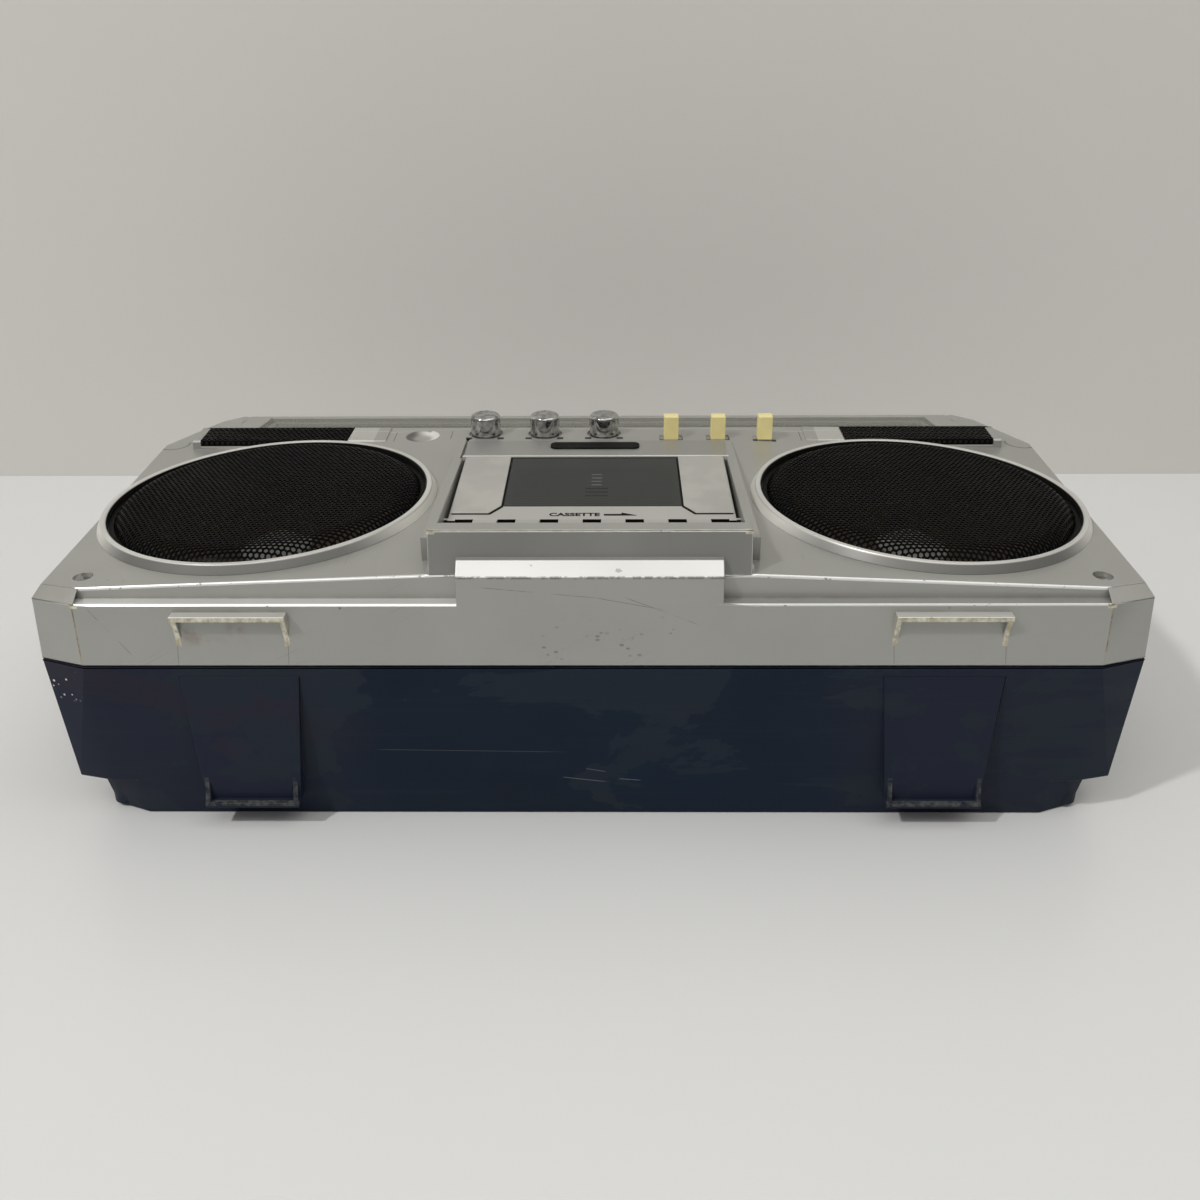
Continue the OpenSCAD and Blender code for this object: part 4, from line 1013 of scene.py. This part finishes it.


# prints, small trim and painted shade in the door's gaps

def lettering(text, height, x, y, z, bold=0):
    capShare = 0.7
    data = bpy.data.curves.new("lettering", "FONT")
    data.body = text
    data.size = height / capShare * mm
    data.extrude = 0.06 * mm
    data.offset = bold * mm
    data.align_x = "CENTER"
    data.align_y = "CENTER"
    holder = newObject("lettering", data)
    mesh = bpy.data.meshes.new_from_object(holder)
    bm = bmesh.new()
    bm.from_mesh(mesh)
    bpy.data.objects.remove(holder)
    bpy.data.curves.remove(data)
    bpy.data.meshes.remove(mesh)
    shift(bm, x, y, z)
    return bm


windowPane = {"half": 42, "y0": 75.8, "y1": 140.4, "thick": 1.7, "round": 0.15}


def buildWindowPane():
    w = windowPane
    bm = newBox((-w["half"], up(w["y0"]), case["doorZ"] - w["thick"]),
                (w["half"], up(w["y1"]), case["doorZ"]))
    roundEdges(bm, bm.edges[:], w["round"], 3)
    asPiece("windowPane", bm, finishes["window_smoke"], "door", ("door_window",), 24, True)


doorPrint = {"word": "CASSETTE", "x": -8.2, "y": 65.3, "height": 3.4, "wide": 23.4, "bold": 0.16,
             "arrowX": 5.4, "arrowLength": 15.2, "arrowHead": 7, "outline": 0.8, "farLineHalf": 66.2}


def doorInkAndShade(name, bm):
    asPiece(name, bm, finishes["print_ink"], "door")


def buildDoorPrint():
    p = doorPrint
    z = case["doorZ"]
    y = up(p["y"])
    bm = lettering(p["word"], p["height"], 0, 0, 0, p["bold"])
    wide = max(v.co.x for v in bm.verts) - min(v.co.x for v in bm.verts)
    bmesh.ops.scale(bm, vec=(p["wide"] * mm / wide, 1, 1), verts=bm.verts[:])
    shift(bm, p["x"], y, z + 0.02)
    doorInkAndShade("doorLetters", bm)
    end = p["arrowX"] + p["arrowLength"]
    neck = end - p["arrowHead"]
    bm = newBox((p["arrowX"], y - 1.1, z - 0.05), (neck + 0.5, y + 0.7, z + 0.08))
    for v in addBox(bm, (neck, y - 1.1, z - 0.05), (end, y + 2.3, z + 0.08)):
        if v.co.x > (end - 1) * mm and v.co.y > y * mm:
            v.co.y = (y - 0.8) * mm
    doorInkAndShade("doorArrow", bm)
    far = up(windowPane["y1"])
    half = p["farLineHalf"]
    doorInkAndShade("doorFarLine", newBox((-half, far - 1.0, z - 0.2), (half, far + 0.1, z + 0.06)))
    # painted shade: a black copy of the side plates, set outward and lower, fills the gaps beside the door
    bm = nodeCopy("door_side_plates")
    for side in (-1, 1):
        plate = [v for v in bm.verts if v.co.x * side > 0]
        move = Vector((-side * p["outline"], -p["outline"], -0.35)) * mm
        bmesh.ops.translate(bm, verts=plate, vec=move)
    doorInkAndShade("doorGapShade", bm)


stripLip = {"x0": -68.2, "x1": 69.2, "y": 141.0, "deep": 1.3, "z": 125.3, "tall": 2.2, "round": 0.35}


def buildStripLip():
    # a lip on the front edge of the plate between the door and the knobs, in the bright trim finish as a
    # painted highlight along that edge
    s = stripLip
    y = up(s["y"])
    bm = newBox((s["x0"], y, s["z"]), (s["x1"], y + s["deep"], s["z"] + s["tall"]))
    roundEdges(bm, bm.edges[:], s["round"], 3)
    asPiece("stripLip", bm, finishes["trim_silver"], "cabinet", (), 24, True)


# rows: piece, first and last step, width and ink
windowMarks = {"x": 1.6, "y": 88.0, "step": 4.6, "deep": 1.3,
               "rows": (("windowLadder", 0, 3, 11.0, "mark_dark"), ("windowMarks", 3, 7, 5.0, "mark_grey"))}


def buildWindowMarks():
    w = windowMarks
    z = case["doorZ"]
    for name, first, last, wide, ink in w["rows"]:
        bm = bmesh.new()
        for i in range(first, last):
            y = up(w["y"] + i * w["step"])
            addBox(bm, (w["x"] - wide / 2, y, z - 0.1), (w["x"] + wide / 2, y + w["deep"], z + 0.03))
        asPiece(name, bm, finishes[ink], "door")


badge = {"halfWidth": 23.5, "y0": 156.4, "y1": 165.2, "z": 125.5, "tall": 0.9, "corner": 3.2, "round": 0.25}


def buildBadge():
    b = badge
    bm = newBox((-b["halfWidth"], up(b["y0"]), b["z"] - 0.1),
                (b["halfWidth"], up(b["y1"]), b["z"] + b["tall"]))
    upright = [e for e in bm.edges if abs(e.verts[0].co.z - e.verts[1].co.z) > 0.5 * mm]
    roundEdges(bm, upright, b["corner"], 6)
    bm.normal_update()
    top = [e for e in bm.edges if all(v.co.z > b["z"] * mm + 0.5 * mm for v in e.verts)]
    roundEdges(bm, top, b["round"], 3)
    asPiece("stripBadge", bm, finishes["badge_black"], "cabinet", (), 30, True)


panelLines = {"left": ((-109.8, 177.2, 191.4), (-78.7, 177.4, 190.0)), "right": ((111.6, 177.0, 191.4),),
              "wide": 0.4}


def buildPanelLines():
    half = panelLines["wide"] / 2
    for side, word in sides:
        bm = bmesh.new()
        for x, y0, y1 in panelLines[word]:
            local = (abs(x) - case["middleHalf"]) / math.cos(case["tilt"])
            addBox(bm, (local - half, y0, -0.1), (local + half, y1, 0.03))
        onPanel(bm, side)
        asPiece(word + "PanelLines", bm, finishes["mark_grey"], "cabinet")


# the rows' y run up the sloping scale
dial = {"y": 192, "z": 122.8, "angle": math.atan((122.8 - 113.4 - 2.6) / 48), "half": 170, "scaleTop": -4.36,
        "upperRow": ("530", "600", "700", "900", "1200", "1600"), "upperY": 20.0,
        "lowerRow": ("88", "92", "96", "100", "104", "108"), "lowerY": 28.6, "height": 3.2,
        "steps": 60, "longEvery": 5, "longTick": 1.6, "shortTick": 0.9}


def buildDialPrint():
    d = dial
    half = d["half"]
    low, high = d["scaleTop"] - 0.1, d["scaleTop"] + 0.05
    bm = bmesh.new()
    for row, y in ((d["upperRow"], d["upperY"]), (d["lowerRow"], d["lowerY"])):
        for i, text in enumerate(row):
            x = -half + 2 * half * (i + 0.5) / len(row)
            joinInto(bm, lettering(text, d["height"], x, y, high))
    middle = (d["upperY"] + d["lowerY"]) / 2
    addBox(bm, (-half, middle - 0.15, low), (half, middle + 0.15, high))
    for i in range(d["steps"] + 1):
        x = -half + 2 * half * i / d["steps"]
        tick = d["shortTick"] if i % d["longEvery"] else d["longTick"]
        addBox(bm, (x - 0.12, middle - tick, low), (x + 0.12, middle + tick, high))
    origin = Vector((0, up(d["y"]), d["z"])) * mm
    placed = Matrix.Translation(origin) @ Matrix.Rotation(-d["angle"], 4, "X")
    bmesh.ops.transform(bm, matrix=placed, verts=bm.verts[:])
    asPiece("dialPrint", bm, finishes["print_pale"], "cabinet")


buildDoorPrint()
buildWindowPane()
buildStripLip()
buildWindowMarks()
buildBadge()
buildPanelLines()
buildDialPrint()
print("prints built")


# stage, in metres

def stagePlane(name, matrix, size, colour, rough, gloss, seeThrough=False):
    bm = bmesh.new()
    placed = matrix @ Matrix.Diagonal((*size, 1, 1))
    bmesh.ops.create_grid(bm, x_segments=8, y_segments=8, size=0.5, matrix=placed)
    mesh = newMesh(name, bm)
    mat, tree, bsdf = newMaterial(name)
    tone = noise(objectCoord(tree), 3.0, 3)
    link(mixColour(tone, tuple(c * 0.96 for c in colour), colour), bsdf.inputs["Base Color"])
    link(mathNode("MULTIPLY_ADD", tone, 0.06, rough), bsdf.inputs["Roughness"])
    bsdf.inputs["Specular IOR Level"].default_value = gloss
    if seeThrough:
        # the wall's back face hides nothing
        geo = tree.nodes.new("ShaderNodeNewGeometry")
        path = tree.nodes.new("ShaderNodeLightPath")
        clear = tree.nodes.new("ShaderNodeBsdfTransparent")
        mix = tree.nodes.new("ShaderNodeMixShader")
        seen = path.outputs["Is Camera Ray"]
        for ray in ("Is Glossy Ray", "Is Transmission Ray"):
            seen = mathNode("MAXIMUM", seen, path.outputs[ray])
        link(times(geo.outputs["Backfacing"], seen), mix.inputs[0])
        link(bsdf.outputs["BSDF"], mix.inputs[1])
        link(clear.outputs["BSDF"], mix.inputs[2])
        link(mix.outputs["Shader"], tree.nodes["Material Output"].inputs["Surface"])
    mesh.materials.append(mat)
    obj = newObject(name, mesh)


def areaLight(name, place, aim, size, power, colour):
    data = bpy.data.lights.new(name, "AREA")
    data.shape = "RECTANGLE"
    data.size, data.size_y = size
    data.energy = power
    data.color = colour
    turn = (Vector(aim) - Vector(place)).to_track_quat("-Z", "Y").to_matrix().to_4x4()
    newObject(name, data).matrix_world = Matrix.Translation(place) @ turn


# each light: name, place, aim, size, power and colour
studio = {
    "wallY": 0.322, "floor": (0.75, 0.755, 0.755), "wall": (0.73, 0.715, 0.68),
    "lights": (("ceilingFront", (-0.05, -1.15, 1.75), (0, 0, 0.08), (1.15, 0.6), 5.2, (1.0, 0.985, 0.95)),
               ("keyLight", (-2.15, -1.71, 3.0), (0, 0, 0.08), (0.22, 0.22), 57.0, (1.0, 0.985, 0.96)),
               ("fillRight", (0.95, -0.3, 1.9), (0.3, 0, 0.08), (1.3, 1.3), 5.7, (1.0, 0.985, 0.95)))}


def buildStage():
    wallY = studio["wallY"]
    level = Matrix.Translation((0, wallY - 1.5, -0.0002))
    stagePlane("tableTop", level, (4.0, 3.0), studio["floor"], 0.25, 0.4)
    upright = Matrix.Translation((0, wallY, 1.2)) @ Matrix.Rotation(math.pi / 2, 4, "X")
    stagePlane("backWall", upright, (4.0, 2.42), studio["wall"], 0.57, 0.3, True)
    for light in studio["lights"]:
        areaLight(*light)


air = {"strength": 0.40, "low": (0.50, 0.50, 0.49), "high": (1.25, 1.24, 1.21), "front": (0.12, 0.12, 0.12)}


def buildAir():
    # light from above, dim low in front
    world = bpy.data.worlds.new("studioAir")
    bpy.context.scene.world = world
    world.use_nodes = True
    tree = world.node_tree
    background = tree.nodes["Background"]
    background.inputs["Strength"].default_value = air["strength"]
    xyz = split(tree.nodes.new("ShaderNodeTexCoord").outputs["Generated"])
    colour = mixColour(ramp(xyz["Z"], -0.1, 0.75), air["low"], air["high"])
    front = ramp(xyz["Y"], -0.2, -0.85)
    low = ramp(xyz["Z"], 0.6, 0.15)
    link(paint(colour, air["front"], front, low, 0.75), background.inputs["Color"])


photoCamera = {"place": (0.0109, -0.6010, 0.3591), "down": 26.85, "yaw": 0.79, "roll": -0.40, "lens": 38.38}


def buildCamera():
    p, y, r = (math.radians(photoCamera[k]) for k in ("down", "yaw", "roll"))
    turn = Matrix.Rotation(y, 3, "Z")
    ahead = turn @ Vector((0, math.cos(p), -math.sin(p)))
    level = turn @ Vector((1, 0, 0))
    upright = turn @ Vector((0, math.sin(p), math.cos(p)))
    right = math.cos(r) * level + math.sin(r) * upright
    upward = math.cos(r) * upright - math.sin(r) * level
    m = Matrix((right, upward, -ahead)).transposed().to_4x4()
    m.translation = photoCamera["place"]
    data = bpy.data.cameras.new("photoCamera")
    data.lens = photoCamera["lens"]
    data.sensor_width = 36
    data.clip_start = 0.01
    obj = newObject("photoCamera", data)
    obj.matrix_world = m
    bpy.context.scene.camera = obj


buildStage()
buildAir()
buildCamera()
print("stage and camera ready")
